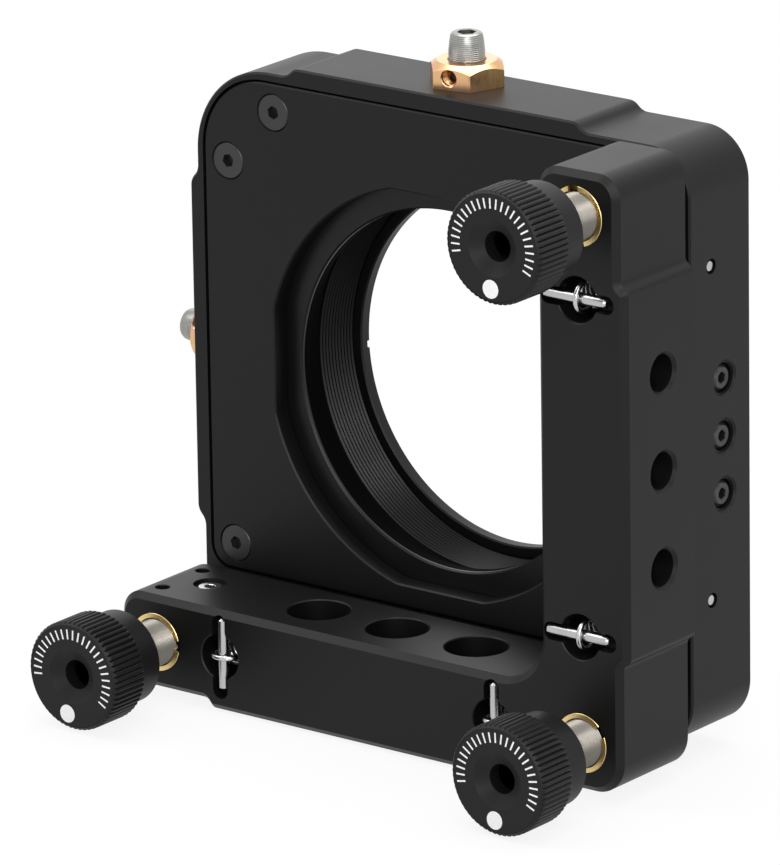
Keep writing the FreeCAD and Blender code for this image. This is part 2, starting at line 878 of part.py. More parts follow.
def make_actuator():
    """Hex-socket drive screw on the left side, with a cup for its thrust ball."""
    inner_end = thrust_ball_centre + actuator_cup_setback
    head = housing_land + actuator_reach
    profile = [
        (0, inner_end),
        (actuator_radius, inner_end),
        (actuator_radius, head - actuator_taper_length),
        (actuator_nose_radius, head - actuator_nose_length),
        (actuator_rim_radius, head - actuator_rim_length),
        (actuator_end_radius, head),
        (0, head),
    ]
    corners = [Vector(-out, actuator_depth + radius, 0) for radius, out in profile]
    face = Part.Face(Part.makePolygon(corners + [corners[0]]))
    body = face.revolve(Vector(0, actuator_depth, 0), X_AXIS, 360)
    head_point = Vector(-head, actuator_depth, 0)
    socket = hexagon(actuator_socket_flats, head_point, X_AXIS, actuator_socket_depth)
    cup = Part.makeSphere(thrust_ball_radius + ball_clearance, Vector(-thrust_ball_centre, actuator_depth, 0))
    return body.cut([socket, cup])


def make_thrust_ball():
    return Part.makeSphere(thrust_ball_radius, Vector(-thrust_ball_centre, actuator_depth, 0))


def make_lock_nut(turn):
    """Hex nut with a chamfered crown and a tapped hole in one flat, on the left land."""
    base = Vector(-housing_land, actuator_depth, 0)
    body = hexagon(nut_flats, base, -X_AXIS, nut_height, turn)
    corner = nut_flats / math.sqrt(3)
    slope = nut_chamfer_drop / (corner - nut_chamfer_radius)
    crown_height = nut_height + nut_chamfer_radius * slope
    crown = Part.makeCone(crown_height / slope, 0.0, crown_height, base, -X_AXIS)
    body = body.common(crown)
    bore = actuator_radius + thread_clearance
    top = base - X_AXIS * nut_height
    angle = math.radians(180 - turn)
    side = Vector(0, math.cos(angle), math.sin(angle))
    along_flat = Vector(0, math.sin(angle), -math.cos(angle))
    hole_start = base - X_AXIS * nut_hole_height + along_flat * nut_hole_shift
    cutters = [
        rod(bore, base, -X_AXIS, nut_height),
        Part.makeCone(bore + nut_countersink, bore, nut_countersink, top, X_AXIS),
        rod(nut_hole_radius, hole_start, side, nut_flats),
    ]
    return body.cut(cutters)


def save(name, shape):
    shape.exportStep("parts/" + name + ".step")


def build():
    os.makedirs("parts", exist_ok=True)
    save("l_frame", make_frame())
    for name, place in adjusters.items():
        save("bushing_" + name, make_bushing(name))
        save("lock_screw_" + name, make_lock_screw(name))
        save("adjuster_screw_" + name, make_adjuster_screw(place))
        save("swivel_foot_" + name, make_foot(place))
        save("ball_" + name, make_ball(place))
        save("knob_" + name, make_knob(name))
    rear_pins = []
    for number, (x, z, direction, shift) in enumerate(spring_places(), start=1):
        save("front_spring_pin_%d" % number, front_pin((x, z), direction, shift))
        save("extension_spring_%d" % number, make_extension_spring((x, z), direction))
        rear_pins.append(rear_pin((x, z), direction))
    save("rear_spring_pins", Part.makeCompound(rear_pins))
    save("housing", make_housing())
    save("cover_plate", make_cover())
    save("cover_screws", Part.makeCompound([make_cover_screw(p) for p in cover_screw_places()]))
    save("cone_seat", make_cone_seat())
    save("vee_seat", make_vee_seat())
    save("flat_seat", make_flat_seat())
    save("optic_cell", make_cell())
    save("retaining_ring", make_retaining_ring())
    side_parts = {
        "thrust_pad": make_thrust_pad(),
        "plungers": make_plungers(),
        "plunger_springs": make_plunger_springs(),
        "socket_screws": make_socket_screws(),
        "thrust_ball": make_thrust_ball(),
        "actuator_screw": make_actuator(),
    }
    for name, shape in side_parts.items():
        save("side_" + name, shape)
        save("vertical_" + name, mirror_diagonal(shape))
    save("side_lock_nut", make_lock_nut(nut_turn_side))
    save("vertical_lock_nut", mirror_diagonal(make_lock_nut(nut_turn_vertical)))


build()
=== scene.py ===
import bpy
import bmesh
import json
import math
from mathutils import Matrix, Vector


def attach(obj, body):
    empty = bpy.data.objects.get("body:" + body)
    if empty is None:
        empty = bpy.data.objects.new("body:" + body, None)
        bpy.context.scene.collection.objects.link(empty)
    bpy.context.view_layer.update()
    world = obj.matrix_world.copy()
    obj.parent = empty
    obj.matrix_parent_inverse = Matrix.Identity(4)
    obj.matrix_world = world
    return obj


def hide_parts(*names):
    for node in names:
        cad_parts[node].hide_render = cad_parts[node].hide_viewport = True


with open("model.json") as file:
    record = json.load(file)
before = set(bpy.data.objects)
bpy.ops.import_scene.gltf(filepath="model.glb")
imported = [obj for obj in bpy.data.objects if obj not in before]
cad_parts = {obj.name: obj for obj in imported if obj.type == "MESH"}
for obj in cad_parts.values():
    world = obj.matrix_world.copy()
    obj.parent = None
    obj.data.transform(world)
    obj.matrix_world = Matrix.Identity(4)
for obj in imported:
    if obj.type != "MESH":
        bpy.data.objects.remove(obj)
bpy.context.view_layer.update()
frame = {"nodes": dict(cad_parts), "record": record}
scene = bpy.context.scene

# Sizes in millimetres and turns in degrees, in the frame of the solids: Y runs away from the knobs
MM = 0.001
TURN = 2 * math.pi
EDGE_BREAK, PLATE_CORNER = 0.25, 6.35

# L-shaped frame, with the post holes, lock screws, tapped holes, spring wells and their pins' slots
FRAME_FRONT, FRAME_BACK, FRAME_CHAMFER = -21.3, -6.8, 0.82
ARM_INNER, ARM_OUTER, ARM_LAND, ARM_TIP, ARM_END_ROUND = 28.66, 41.15, 42.3, 39.35, 3.2
POST_Y, POST_SPACING, POST_RADIUS, POST_CHAMFER = FRAME_FRONT + 7.9, 12.7, 2.42, 0.42
COUNTERBORE_RADIUS, COUNTERBORE_DEPTH = 4.12, 5.2
LOCK_Y, LOCK_ASIDE, LOCK_RADIUS = FRAME_FRONT + 8.2, 2.65, 1.72
TAPPED_RADIUS, TAPPED_ASIDE, TAPPED_DEPTH = 0.95, 4.16, 4.0
WELL_RADIUS, SLOT_LENGTH, SLOT_WIDTH, SLOT_DEPTH = 3.0, 11.3, 2.4, 1.65
PIN_RADIUS, PIN_LENGTH = 0.75, 9.6

# Housing, with its pocket, seats, plug screws and rear dowels
HOUSING_FRONT, HOUSING_BACK = -4.45, 8.35
HOUSING_SIDE, HOUSING_RECESS, HOUSING_LAND = 40.0, 38.6, 39.8
POCKET_HALF, REAR_OPENING = 28.75, 28.5
SEAT_RADIUS, SEAT_DEPTH, SEAT_SWING = 4.0, 3.2, 0.12
PLUG_RADIUS, PLUG_LENGTH, PLUNGER_BORE = 1.97, 6.45, 1.65
PLUG_STEPS = (-7.62, 0.0, 7.62)
REAR_PIN_Y, DOWEL_RADIUS, DOWEL_LENGTH = -0.03, 0.72, 9.0

# Cover plate: its screws' places, and the turn of the first one's hex with the step to the next
COVER_BACK = HOUSING_FRONT + 2.54
WINDOW_RADIUS, WINDOW_FLAT = 27.3, 26.4
COVER_SCREWS = [(-25.9, 33.45), (-33.45, 25.9), (-33.45, -25.9), (25.9, 33.45)]
COVER_SCREW_TURNS = 20.0, 25.0

# Optic cell and retaining ring
CELL_FRONT, CELL_BACK, CELL_HALF, CELL_CORNER = -1.8, 5.2, 27.6, 5.0
BOSS_RADIUS, BOSS_LENGTH = 27.0, 7.8
LIP_RADIUS, THREAD_RADIUS, THREAD_PITCH, THREAD_START = 23.94, 25.9, 0.635, 4.1
RING_START = 10.75

# Adjusters: bushing, screw and knob
BUSHING_RADIUS, BUSHING_LENGTH, BUSHING_BORE = 3.97, 12.5, 3.12
SCREW_HEAD, SCREW_TIP, SCREW_RADIUS, SCREW_PITCH = FRAME_FRONT - 13.9, -6.52, 2.95, 0.3175
KNOB_LENGTH, KNURL_END, COLLAR_END, COLLAR_RADIUS = 8.6, 6.1, 10.5, 6.2
KNURL_RADIUS, KNURL_ROOT, KNOB_BORE, FLUTES = 7.25, 6.93, 3.175, 60
KNOB_STANDOFF = {"top": 8.45, "corner": 8.83, "left": 8.37}
NOTCH_TURN = {"top": 97.0, "corner": 33.0, "left": 1.0}
DOT_TURN = {"top": 4.0, "corner": 5.0, "left": 10.0}

# Cross-slide screws and their hex nuts
SLIDE_Y, SLIDE_BORE, SLIDE_RADIUS, SLIDE_PITCH = 2.8, 2.43, 2.31, 0.254
SLIDE_REACH, SLIDE_INSIDE = 6.7, 10.5
NUT_FLATS, NUT_HEIGHT, NUT_FOOT = 9.05, 3.2, 5.3

# Places of the adjusters, and of the springs with the way their front pins lie and how far these shift
OFFSET, PITCH = 34.93, 68.5
PLACES = {
    "top": (OFFSET, PITCH - OFFSET),
    "corner": (OFFSET, -OFFSET),
    "left": (OFFSET - PITCH, -OFFSET),
}
WELLS = [
    (OFFSET, 22.9, "x", 0.7),
    (OFFSET, -20.95, "x", 0.7),
    (-22.9, -OFFSET, "z", -0.3),
    (20.95, -OFFSET, "z", -0.3),
]

# Camera: its way of looking, what it looks at and from how far, and its lens in rows of the photograph
CAMERA_TURN, CAMERA_RISE, CAMERA_ROLL = 37.921, 17.379, -0.901
CAMERA_AIM, CAMERA_AWAY = (-3.928, -9.225, -4.288), 1155.06
FOCAL_ROWS, PICTURE_ROWS, SENSOR = 9057.66, 865, 36.0


# Materials

def plug(tree, socket, item):
    """Link a socket to a value or another socket, or set it to a plain number or colour."""
    if isinstance(item, Value):
        item = item.socket
    if isinstance(item, bpy.types.NodeSocket):
        tree.links.new(item, socket)
    else:
        socket.default_value = item


class Value:
    """A shader number that ordinary Python sums can be written with."""

    def __init__(self, tree, socket):
        self.tree = tree
        self.socket = socket

    def _do(self, operation, *items):
        node = self.tree.nodes.new("ShaderNodeMath")
        node.operation = operation
        for socket, item in zip(node.inputs, items):
            plug(self.tree, socket, item)
        return Value(self.tree, node.outputs[0])

    def __add__(self, other):
        return self._do("ADD", self, other)

    def __radd__(self, other):
        return self._do("ADD", other, self)

    def __sub__(self, other):
        return self._do("SUBTRACT", self, other)

    def __rsub__(self, other):
        return self._do("SUBTRACT", other, self)

    def __mul__(self, other):
        return self._do("MULTIPLY", self, other)

    def __rmul__(self, other):
        return self._do("MULTIPLY", other, self)

    def __truediv__(self, other):
        return self._do("DIVIDE", self, other)

    def __rtruediv__(self, other):
        return self._do("DIVIDE", other, self)

    def __pow__(self, other):
        return self._do("POWER", self, other)

    def __gt__(self, level):
        return self._do("GREATER_THAN", self, level)

    def __lt__(self, level):
        return self._do("LESS_THAN", self, level)

    def root(self):
        return self._do("SQRT", self)

    def at_most(self, other):
        return self._do("MINIMUM", self, other)


class Nodes:
    """A node tree whose nodes all come from one method."""

    def __init__(self, tree):
        self.tree = tree

    def node(self, kind, settings=None, **values):
        made = self.tree.nodes.new(kind)
        for key, item in (settings or {}).items():
            setattr(made, key, item)
        for key, item in values.items():
            label = key.replace("_", " ")
            place = int(label[1:]) if label[0] == "n" and label[1:].isdigit() else label
            plug(self.tree, made.inputs[place], item)
        return made

    def value(self, socket):
        return Value(self.tree, socket)

    def seen(self):
        """One for what the camera sees directly, mirrored or through glass."""
        path = self.node("ShaderNodeLightPath").outputs
        labels = ("Is Camera Ray", "Is Glossy Ray", "Is Transmission Ray")
        rays = [self.value(path[label]) for label in labels]
        return (rays[0] + rays[1] + rays[2]).at_most(1.0)


class Finish(Nodes):
    """One procedural material, built node by node around a Principled shader."""

    def __init__(self, name):
        self.material = bpy.data.materials.new(name)
        self.material.use_nodes = True
        super().__init__(self.material.node_tree)
        self.shader = self.tree.nodes["Principled BSDF"]
        self.place = self.node("ShaderNodeTexCoord").outputs["Object"]

    def along(self, axis):
        """How far along X, Y or Z the surface point lies, in millimetres."""
        parts = self.node("ShaderNodeSeparateXYZ", Vector=self.place)
        return self.value(parts.outputs[axis]) * 1000.0

    def noise(self, scale, detail=3.0, roughness=0.5, stretch=(1, 1, 1)):
        mapped = self.node("ShaderNodeMapping", Vector=self.place, Scale=stretch)
        made = self.node(
            "ShaderNodeTexNoise", Vector=mapped.outputs[0], Scale=scale, Detail=detail, Roughness=roughness)
        return self.value(made.outputs["Fac"])

    def blend(self, factor, first, second):
        return self.node("ShaderNodeMix", {"data_type": "RGBA"}, n0=factor, n6=first, n7=second).outputs[2]

    def feed(self, name, item):
        plug(self.tree, self.shader.inputs[name], item)

    def wave(self, count):
        """Smooth rise and fall between nought and one, once for each whole step of the count."""
        swing = self.node("ShaderNodeMath", {"operation": "SINE"}, n0=count * TURN)
        return self.value(swing.outputs[0]) * 0.5 + 0.5

    def bump(self, height, strength, distance):
        made = self.node("ShaderNodeBump", Height=height, Strength=strength, Distance=distance)
        self.feed("Normal", made.outputs["Normal"])

    def paint_shade(self, factor, level):
        """Let a matt dark layer of painted shade take over where the factor is one."""
        matt = self.node("ShaderNodeBsdfDiffuse", Color=grey(level))
        mixed = self.node("ShaderNodeMixShader", n0=factor, n1=self.shader.outputs[0], n2=matt.outputs[0])
        plug(self.tree, self.tree.nodes["Material Output"].inputs[0], mixed.outputs[0])


def grey(level, alpha=1.0):
    return (level, level, level, alpha)


def anodised(name, dark, light, rough, ior=1.3):
    """Black dyed aluminium with a fine satin grain left by blasting."""
    finish = Finish(name)
    patches = finish.noise(140.0, 4.0, 0.6)
    grain = finish.noise(9000.0, 2.0, 0.6)
    finish.feed("Base Color", finish.blend(patches, dark, light))
    finish.feed("Roughness", rough - 0.03 + patches * 0.06 + grain * 0.03)
    finish.feed("IOR", ior)
    finish.bump(grain, 0.12, 0.00002)
    return finish


def turned_metal(name, low, high, rough, ring_scale, axis=(0.0, 1.0, 0.0)):
    """Bare metal with faint tool rings across one axis and slight stains."""
    finish = Finish(name)
    stretch = tuple(40.0 if part else 1.0 for part in axis)
    rings = finish.noise(ring_scale, 3.0, 0.6, stretch)
    stains = finish.noise(420.0, 4.0, 0.65)
    finish.feed("Base Color", finish.blend(stains, low, high))
    finish.feed("Roughness", rough + rings * 0.12 + stains * 0.08 - 0.1)
    finish.feed("Metallic", 1.0)
    finish.bump(rings, 0.1, 0.00002)
    return finish


def bore_black():
    """The optic cell: as the other anodised parts, but with painted shade in the thread's run-out groove and
    over its roots.
    """
    finish = anodised("black_anodised_cell", grey(0.003), grey(0.0042), 0.3)
    x, y, z = (finish.along(axis) for axis in "XYZ")
    inside = (x * x + z * z).root()
    # Painted shade: a near black matt layer over the run-out groove behind the lip and over the thread's
    # roots
    groove = (y > CELL_FRONT + 0.5) * (y < THREAD_START) * (inside > LIP_RADIUS - 0.44)
    roots = (y > THREAD_START) * (inside > THREAD_RADIUS - 0.14) * (inside < THREAD_RADIUS + 0.3)
    finish.paint_shade((groove * 0.95 + roots * 0.9).at_most(1.0), 0.0015)
    return finish.material


def threaded_steel(name, axis, pitch, low, high, dark=None):
    """Steel with the shade that lies in its thread's roots, and a dark stretch of painted shade if asked."""
    direction = tuple(1.0 if letter == axis else 0.0 for letter in "XYZ")
    finish = turned_metal(name, low, high, 0.34, 300.0, direction)
    reach = finish.along(axis)
    wave = finish.wave(reach / pitch)
    stains = finish.noise(420.0, 4.0, 0.65)
    steel = finish.blend(stains, low, high)
    shaded = finish.blend(wave * 0.55, steel, (0.06, 0.055, 0.048, 1))
    # Painted shade: near black below the given reach along the axis
    if dark:
        shaded = finish.blend(reach < dark, shaded, grey(0.012))
    finish.feed("Base Color", shaded)
    return finish.material


def nut_bronze():
    """Bronze with gold and pink patches and brown stains."""
    gold, pink = (0.74, 0.45, 0.2, 1), (0.76, 0.43, 0.29, 1)
    finish = turned_metal("nut_bronze", gold, pink, 0.28, 160.0)
    patches = ((finish.noise(230.0, 2.0) - 0.38) * 4.0).at_most(1.0)
    stains = ((finish.noise(300.0, 3.0, 0.5) - 0.6) * 4.0).at_most(0.5)
    bare = finish.blend(patches, gold, pink)
    finish.feed("Base Color", finish.blend(stains, bare, (0.24, 0.12, 0.05, 1)))
    return finish.material


def bushing_brass():
    """Turned brass, darkened with painted shade below the frame's face."""
    low, high = (0.74, 0.54, 0.22, 1), (0.92, 0.72, 0.36, 1)
    finish = turned_metal("bushing_brass", low, high, 0.28, 160.0)
    # Painted shade: dark brown from 0.35 mm behind the frame's face, over the notch floor and down the bore
    recess_shade = finish.along("Y") > FRAME_FRONT + 0.35
    bare = finish.blend(finish.noise(420.0), low, high)
    finish.feed("Base Color", finish.blend(recess_shade * 0.85, bare, (0.05, 0.03, 0.012, 1)))
    return finish.material


black = anodised("black_anodised_aluminium", grey(0.003), grey(0.0042), 0.42).material
black_cell = bore_black()
knob_dark, knob_light = (0.0058, 0.005, 0.0056, 1), (0.0075, 0.0066, 0.0072, 1)
black_knob = anodised("black_anodised_knob", knob_dark, knob_light, 0.45).material
black_screw = anodised("black_oxide_steel", grey(0.008), grey(0.014), 0.34, 1.5).material
brass = bushing_brass()
bronze = nut_bronze()
warm_dark, warm_light = (0.22, 0.205, 0.178, 1), (0.34, 0.317, 0.285, 1)
# Painted shade near black over the screw's first 4 mm, which sits inside the knob's bore
knob_steel = threaded_steel("adjuster_steel", "Y", SCREW_PITCH, warm_dark, warm_light, SCREW_HEAD + 4.0)
pale_dark, pale_light = (0.32, 0.32, 0.3, 1), (0.48, 0.48, 0.46, 1)
steel_x = threaded_steel("slide_steel_sideways", "X", SLIDE_PITCH, pale_dark, pale_light)
steel_z = threaded_steel("slide_steel_upright", "Z", SLIDE_PITCH, pale_dark, pale_light)
bright = turned_metal("pin_steel", grey(0.42), grey(0.55), 0.24, 200.0).material
wire = turned_metal("spring_wire", grey(0.45), grey(0.62), 0.22, 300.0).material
hard = turned_metal("hardened_steel", grey(0.55), grey(0.7), 0.18, 200.0).material


def index_paint():
    """White paint of the dots and ticks on the knobs' faces."""
    finish = Finish("index_white")
    spots = finish.noise(3000.0, 2.0)
    finish.feed("Base Color", finish.blend(spots, grey(0.78), grey(0.84)))
    finish.feed("Roughness", 0.5 + spots * 0.1)
    return finish.material


white = index_paint()


# Shapes: every helper works in millimetres and gives an object at the origin in metres

def rounded(points, chord=0.22):
    """Closed outline through (x, z, radius) corners, as (x, z) points on their arcs."""
    found = []
    count = len(points)
    for i, (x, z, radius) in enumerate(points):
        here = Vector((x, z))
        before = (Vector(points[i - 1][:2]) - here).normalized()
        after = (Vector(points[(i + 1) % count][:2]) - here).normalized()
        if radius == 0:
            found.append(here)
            continue
        half = before.angle(after) / 2
        centre = here + (before + after).normalized() * (radius / math.sin(half))
        start = here + before * (radius / math.tan(half)) - centre
        end = here + after * (radius / math.tan(half)) - centre
        sweep = math.pi - 2 * half
        turn = 1.0 if start.x * end.y - start.y * end.x > 0 else -1.0
        steps = max(4, math.ceil(sweep * radius / chord))
        for k in range(steps + 1):
            angle = turn * sweep * k / steps
            c, s = math.cos(angle), math.sin(angle)
            found.append(centre + Vector((start.x * c - start.y * s, start.x * s + start.y * c)))
    return [p for i, p in enumerate(found) if (p - found[i - 1]).length > 1e-4]


def inset(outline, amount):
    """The outline moved inwards by an amount, corner by corner."""
    area = sum(a.x * b.y - b.x * a.y for a, b in zip(outline, outline[1:] + outline[:1]))
    side = 1.0 if area > 0 else -1.0
    moved = []
    count = len(outline)
    for i, here in enumerate(outline):
        back = (here - outline[i - 1]).normalized()
        ahead = (outline[(i + 1) % count] - here).normalized()
        first = Vector((-back.y, back.x)) * side
        second = Vector((-ahead.y, ahead.x)) * side
        middle = (first + second).normalized()
        moved.append(here + middle * (amount / max(0.4, middle.dot(first))))
    return moved


def finish_mesh(name, bm, material, angle=28.0):
    """Object from a built mesh, with its faces turned outwards."""
    bmesh.ops.recalc_face_normals(bm, faces=bm.faces)
    mesh = bpy.data.meshes.new(name)
    bm.to_mesh(mesh)
    bm.free()
    return dress(name, mesh, material, angle)


def dress(name, mesh, material, angle=28.0):
    """Object with one material, smooth but for edges sharper than the angle."""
    mesh.name = name
    mesh.materials.clear()
    mesh.materials.append(material)
    for polygon in mesh.polygons:
        polygon.material_index = 0
    mesh.shade_smooth()
    mesh.set_sharp_from_angle(angle=math.radians(angle))
    made = bpy.data.objects.new(name, mesh)
    scene.collection.objects.link(made)
    return made


def plate(name, outline, low, high, material=None, front=0.0, back=0.0, turn=None):
    """Flat piece between two depths, with a chamfer round its front and back edges."""
    material = material or black
    levels = []
    if front:
        levels += [(low, front), (low + abs(front), 0.0)]
    else:
        levels += [(low, 0.0)]
    if back:
        levels += [(high - abs(back), 0.0), (high, back)]
    else:
        levels += [(high, 0.0)]
    bm = bmesh.new()
    rings = []
    for y, amount in levels:
        ring = inset(outline, amount) if amount else outline
        points = [Vector((p.x, y, p.y)) * MM for p in ring]
        if turn:
            points = [turn @ p for p in points]
        rings.append([bm.verts.new(p) for p in points])
    for lower, upper in zip(rings, rings[1:]):
        for i in range(len(lower)):
            bm.faces.new((lower[i - 1], lower[i], upper[i], upper[i - 1]))
    bm.faces.new(rings[0])
    bm.faces.new(rings[-1])
    return finish_mesh(name, bm, material)


def along(axis, start):
    """Transform that sends +Z of a turned piece to a direction, from a start point in millimetres."""
    turn = Vector((0, 0, 1)).rotation_difference(Vector(axis)).to_matrix().to_4x4()
    return Matrix.Translation(Vector(start) * MM) @ turn


def shifted(transform, x=0.0, y=0.0, z=0.0):
    """The transform moved along its own axes, in millimetres."""
    return transform @ Matrix.Translation(Vector((x, y, z)) * MM)


def spun(transform, degrees, axis="Z"):
    """The transform turned about one of its own axes."""
    return transform @ Matrix.Rotation(math.radians(degrees), 4, axis)


def turned(name, profile, transform, material=None, steps=96, closed=True):
    """Lathe piece from (radius, height) points about the transform's axis."""
    material = material or black
    bm = bmesh.new()
    rings = []
    for radius, height in profile:
        if radius < 1e-6:
            rings.append([bm.verts.new(transform @ Vector((0, 0, height * MM)))])
            continue
        ring = []
        for k in range(steps):
            angle = TURN * k / steps
            point = Vector((radius * math.cos(angle), radius * math.sin(angle), height)) * MM
            ring.append(bm.verts.new(transform @ point))
        rings.append(ring)
    pairs = list(zip(rings, rings[1:]))
    if closed and len(rings[0]) > 1:
        pairs.append((rings[-1], rings[0]))
    for lower, upper in pairs:
        for k in range(steps):
            a = [lower[k - 1], lower[k]] if len(lower) > 1 else [lower[0]]
            b = [upper[k], upper[k - 1]] if len(upper) > 1 else [upper[0]]
            if len(a) + len(b) > 2:
                bm.faces.new(a + b)
    return finish_mesh(name, bm, material)


def carve(piece, tools, operation="DIFFERENCE", angle=28.0):
    """Cut, join or intersect a piece with tools, one after another."""
    for number, tool in enumerate(tools):
        modifier = piece.modifiers.new("step%d" % number, "BOOLEAN")
        modifier.operation = operation
        modifier.solver = "EXACT"
        modifier.object = tool
    bpy.context.view_layer.update()
    evaluated = piece.evaluated_get(bpy.context.evaluated_depsgraph_get())
    mesh = bpy.data.meshes.new_from_object(evaluated)
    material = piece.data.materials[0]
    name = piece.name
    for item in [piece] + list(tools):
        bpy.data.objects.remove(item)
    return dress(name, mesh, material, angle)


def drill(radius, transform, depth, chamfer=0.0, steps=64, step_radius=None, step_depth=0.0):
    """Round cutter with a chamfered mouth, and a wider step at the mouth if asked."""
    profile = [(0, -1.0)]
    mouth = step_radius or radius
    profile += [(mouth + chamfer, -1.0), (mouth + chamfer, 0.0), (mouth, chamfer)]
    if step_radius:
        profile += [(mouth, step_depth), (radius, step_depth)]
    profile += [(radius, depth), (0, depth)]
    return turned("cutter", profile, transform, steps=steps, closed=False)


def hex_cutter(flats, transform, depth, turn=0.0):
    """Six-sided cutter, by its width across flats, that starts a millimetre outside the face."""
    corner = flats / math.sqrt(3)
    bm = bmesh.new()
    rings = []
    for height in (-1.0, depth):
        ring = []
        for k in range(6):
            angle = math.radians(60 * k + turn)
            point = Vector((corner * math.cos(angle), corner * math.sin(angle), height)) * MM
            ring.append(bm.verts.new(transform @ point))
        rings.append(ring)
    for k in range(6):
        bm.faces.new((rings[0][k - 1], rings[0][k], rings[1][k], rings[1][k - 1]))
    bm.faces.new(rings[0])
    bm.faces.new(rings[1])
    return finish_mesh("cutter", bm, black)


def merge(name, pieces, material, angle=28.0):
    """Several objects made one, keeping their shapes."""
    bm = bmesh.new()
    for piece in pieces:
        bm.from_mesh(piece.data)
        bpy.data.objects.remove(piece)
    mesh = bpy.data.meshes.new(name)
    bm.to_mesh(mesh)
    bm.free()
    return dress(name, mesh, material, angle)


# Geometry trees for what repeats

class Growth(Nodes):
    """A geometry tree with named inputs, ended by realised instances and a material."""

    def __init__(self, name, inputs):
        super().__init__(bpy.data.node_groups.new(name, "GeometryNodeTree"))
        face = self.tree.interface
        face.new_socket("Geometry", in_out="INPUT", socket_type="NodeSocketGeometry")
        for label, kind, value in inputs:
            made = face.new_socket(label, in_out="INPUT", socket_type="NodeSocket" + kind)
            if kind != "Material":
                made.default_value = value
        face.new_socket("Geometry", in_out="OUTPUT", socket_type="NodeSocketGeometry")
        self.start = self.node("NodeGroupInput")
        self.stop = self.node("NodeGroupOutput")

    def given(self, label):
        return self.start.outputs[label]

    def maths(self, operation, first, second):
        return self.node("ShaderNodeMath", {"operation": operation}, n0=first, n1=second).outputs[0]

    def end(self, geometry):
        whole = self.node("GeometryNodeRealizeInstances", Geometry=geometry).outputs[0]
        painted = self.node("GeometryNodeSetMaterial", Geometry=whole, Material=self.given("Material"))
        plug(self.tree, self.stop.inputs[0], painted.outputs[0])
        return self.tree

    def grow(self, name, seed, material, transform=None, angle=28.0, **values):
        """Run the tree on a seed object and keep the result as a plain mesh."""
        modifier = seed.modifiers.new("growth", "NODES")
        modifier.node_group = self.tree
        sockets = self.tree.interface.items_tree
        labels = {item.name: item.identifier for item in sockets if item.in_out == "INPUT"}
        modifier[labels["Material"]] = material
        for key, item in values.items():
            modifier[labels[key.replace("_", " ")]] = item
        bpy.context.view_layer.update()
        evaluated = seed.evaluated_get(bpy.context.evaluated_depsgraph_get())
        mesh = bpy.data.meshes.new_from_object(evaluated)
        bpy.data.objects.remove(seed)
        if transform:
            mesh.transform(transform)
        return dress(name, mesh, material, angle)


def ring_tree():
    """Copies of the seed turned about +Z, joined edge to edge."""
    growth = Growth("repeat_around_axis", [
        ("Count", "Int", 12), ("Step", "Float", 0.1), ("Material", "Material", None)])
    points = growth.node("GeometryNodePoints", Count=growth.given("Count"))
    index = growth.node("GeometryNodeInputIndex").outputs[0]
    angle = growth.maths("MULTIPLY", index, growth.given("Step"))
    turn = growth.node("ShaderNodeCombineXYZ", Z=angle).outputs[0]
    copies = growth.node(
        "GeometryNodeInstanceOnPoints", Points=points.outputs[0],
        Instance=growth.given("Geometry"), Rotation=turn).outputs[0]
    real = growth.node("GeometryNodeRealizeInstances", Geometry=copies).outputs[0]
    joined = growth.node("GeometryNodeMergeByDistance", Geometry=real, Distance=0.000002).outputs[0]
    growth.end(joined)
    return growth


def helix_tree():
    """Wire or ridge wound along +Z."""
    growth = Growth("winding", [
        ("Turns", "Float", 5.0), ("Radius", "Float", 0.003), ("End Radius", "Float", 0.003),
        ("Height", "Float", 0.01), ("Wire", "Float", 0.0004), ("Sides", "Int", 8), ("Resolution", "Int", 48),
        ("Material", "Material", None)])
    spiral = growth.node(
        "GeometryNodeCurveSpiral", Resolution=growth.given("Resolution"), Rotations=growth.given("Turns"),
        Start_Radius=growth.given("Radius"), End_Radius=growth.given("End Radius"),
        Height=growth.given("Height"))
    steady = growth.node("GeometryNodeSetCurveNormal", {"mode": "Z_UP"}, Curve=spiral.outputs[0]).outputs[0]
    section = growth.node(
        "GeometryNodeCurvePrimitiveCircle", Resolution=growth.given("Sides"),
        Radius=growth.given("Wire")).outputs[0]
    tube = growth.node("GeometryNodeCurveToMesh", Curve=steady, Profile_Curve=section, Fill_Caps=True)
    growth.end(tube.outputs[0])
    return growth


def wire_tree():
    """Wire drawn along the seed's curve."""
    growth = Growth("bent_wire", [("Wire", "Float", 0.0004), ("Material", "Material", None)])
    section = growth.node(
        "GeometryNodeCurvePrimitiveCircle", Resolution=14, Radius=growth.given("Wire")).outputs[0]
    path = growth.given("Geometry")
    tube = growth.node("GeometryNodeCurveToMesh", Curve=path, Profile_Curve=section, Fill_Caps=True)
    growth.end(tube.outputs[0])
    return growth


repeat_around = ring_tree()
winding = helix_tree()
bent_wire = wire_tree()


def seed_mesh(points, faces):
    """Small mesh that a growth tree starts from."""
    mesh = bpy.data.meshes.new("seed")
    mesh.from_pydata([tuple(Vector(p) * MM) for p in points], [], faces)
    made = bpy.data.objects.new("seed", mesh)
    scene.collection.objects.link(made)
    return made


def thread(name, radius, depth, pitch, turns, transform, material, resolution=72, end_radius=None):
    """Four-sided ridge wound round a core or inside a bore, to another radius at its end if asked."""
    seed = seed_mesh([(0, 0, 0)], [])
    return winding.grow(
        name, seed, material, transform, 20.0, Turns=float(turns), Radius=radius * MM,
        End_Radius=(end_radius or radius) * MM, Height=turns * pitch * MM, Wire=depth * MM, Sides=4,
        Resolution=resolution)


def place_piece(piece, body, slot, *nodes):
    """Ride a piece on its body and say which nodes' solids it replaces; the slot is not used."""
    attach(piece, body)
    if nodes:
        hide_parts(*nodes)
    return piece


# L-shaped frame

def land(recess, height, low, high, run, radius):
    """Corners of a raised stretch along one side, with sloping ends."""
    return [
        (recess, low - run / 2, radius),
        (height, low + run / 2, radius),
        (height, high - run / 2, radius),
        (recess, high + run / 2, radius),
    ]


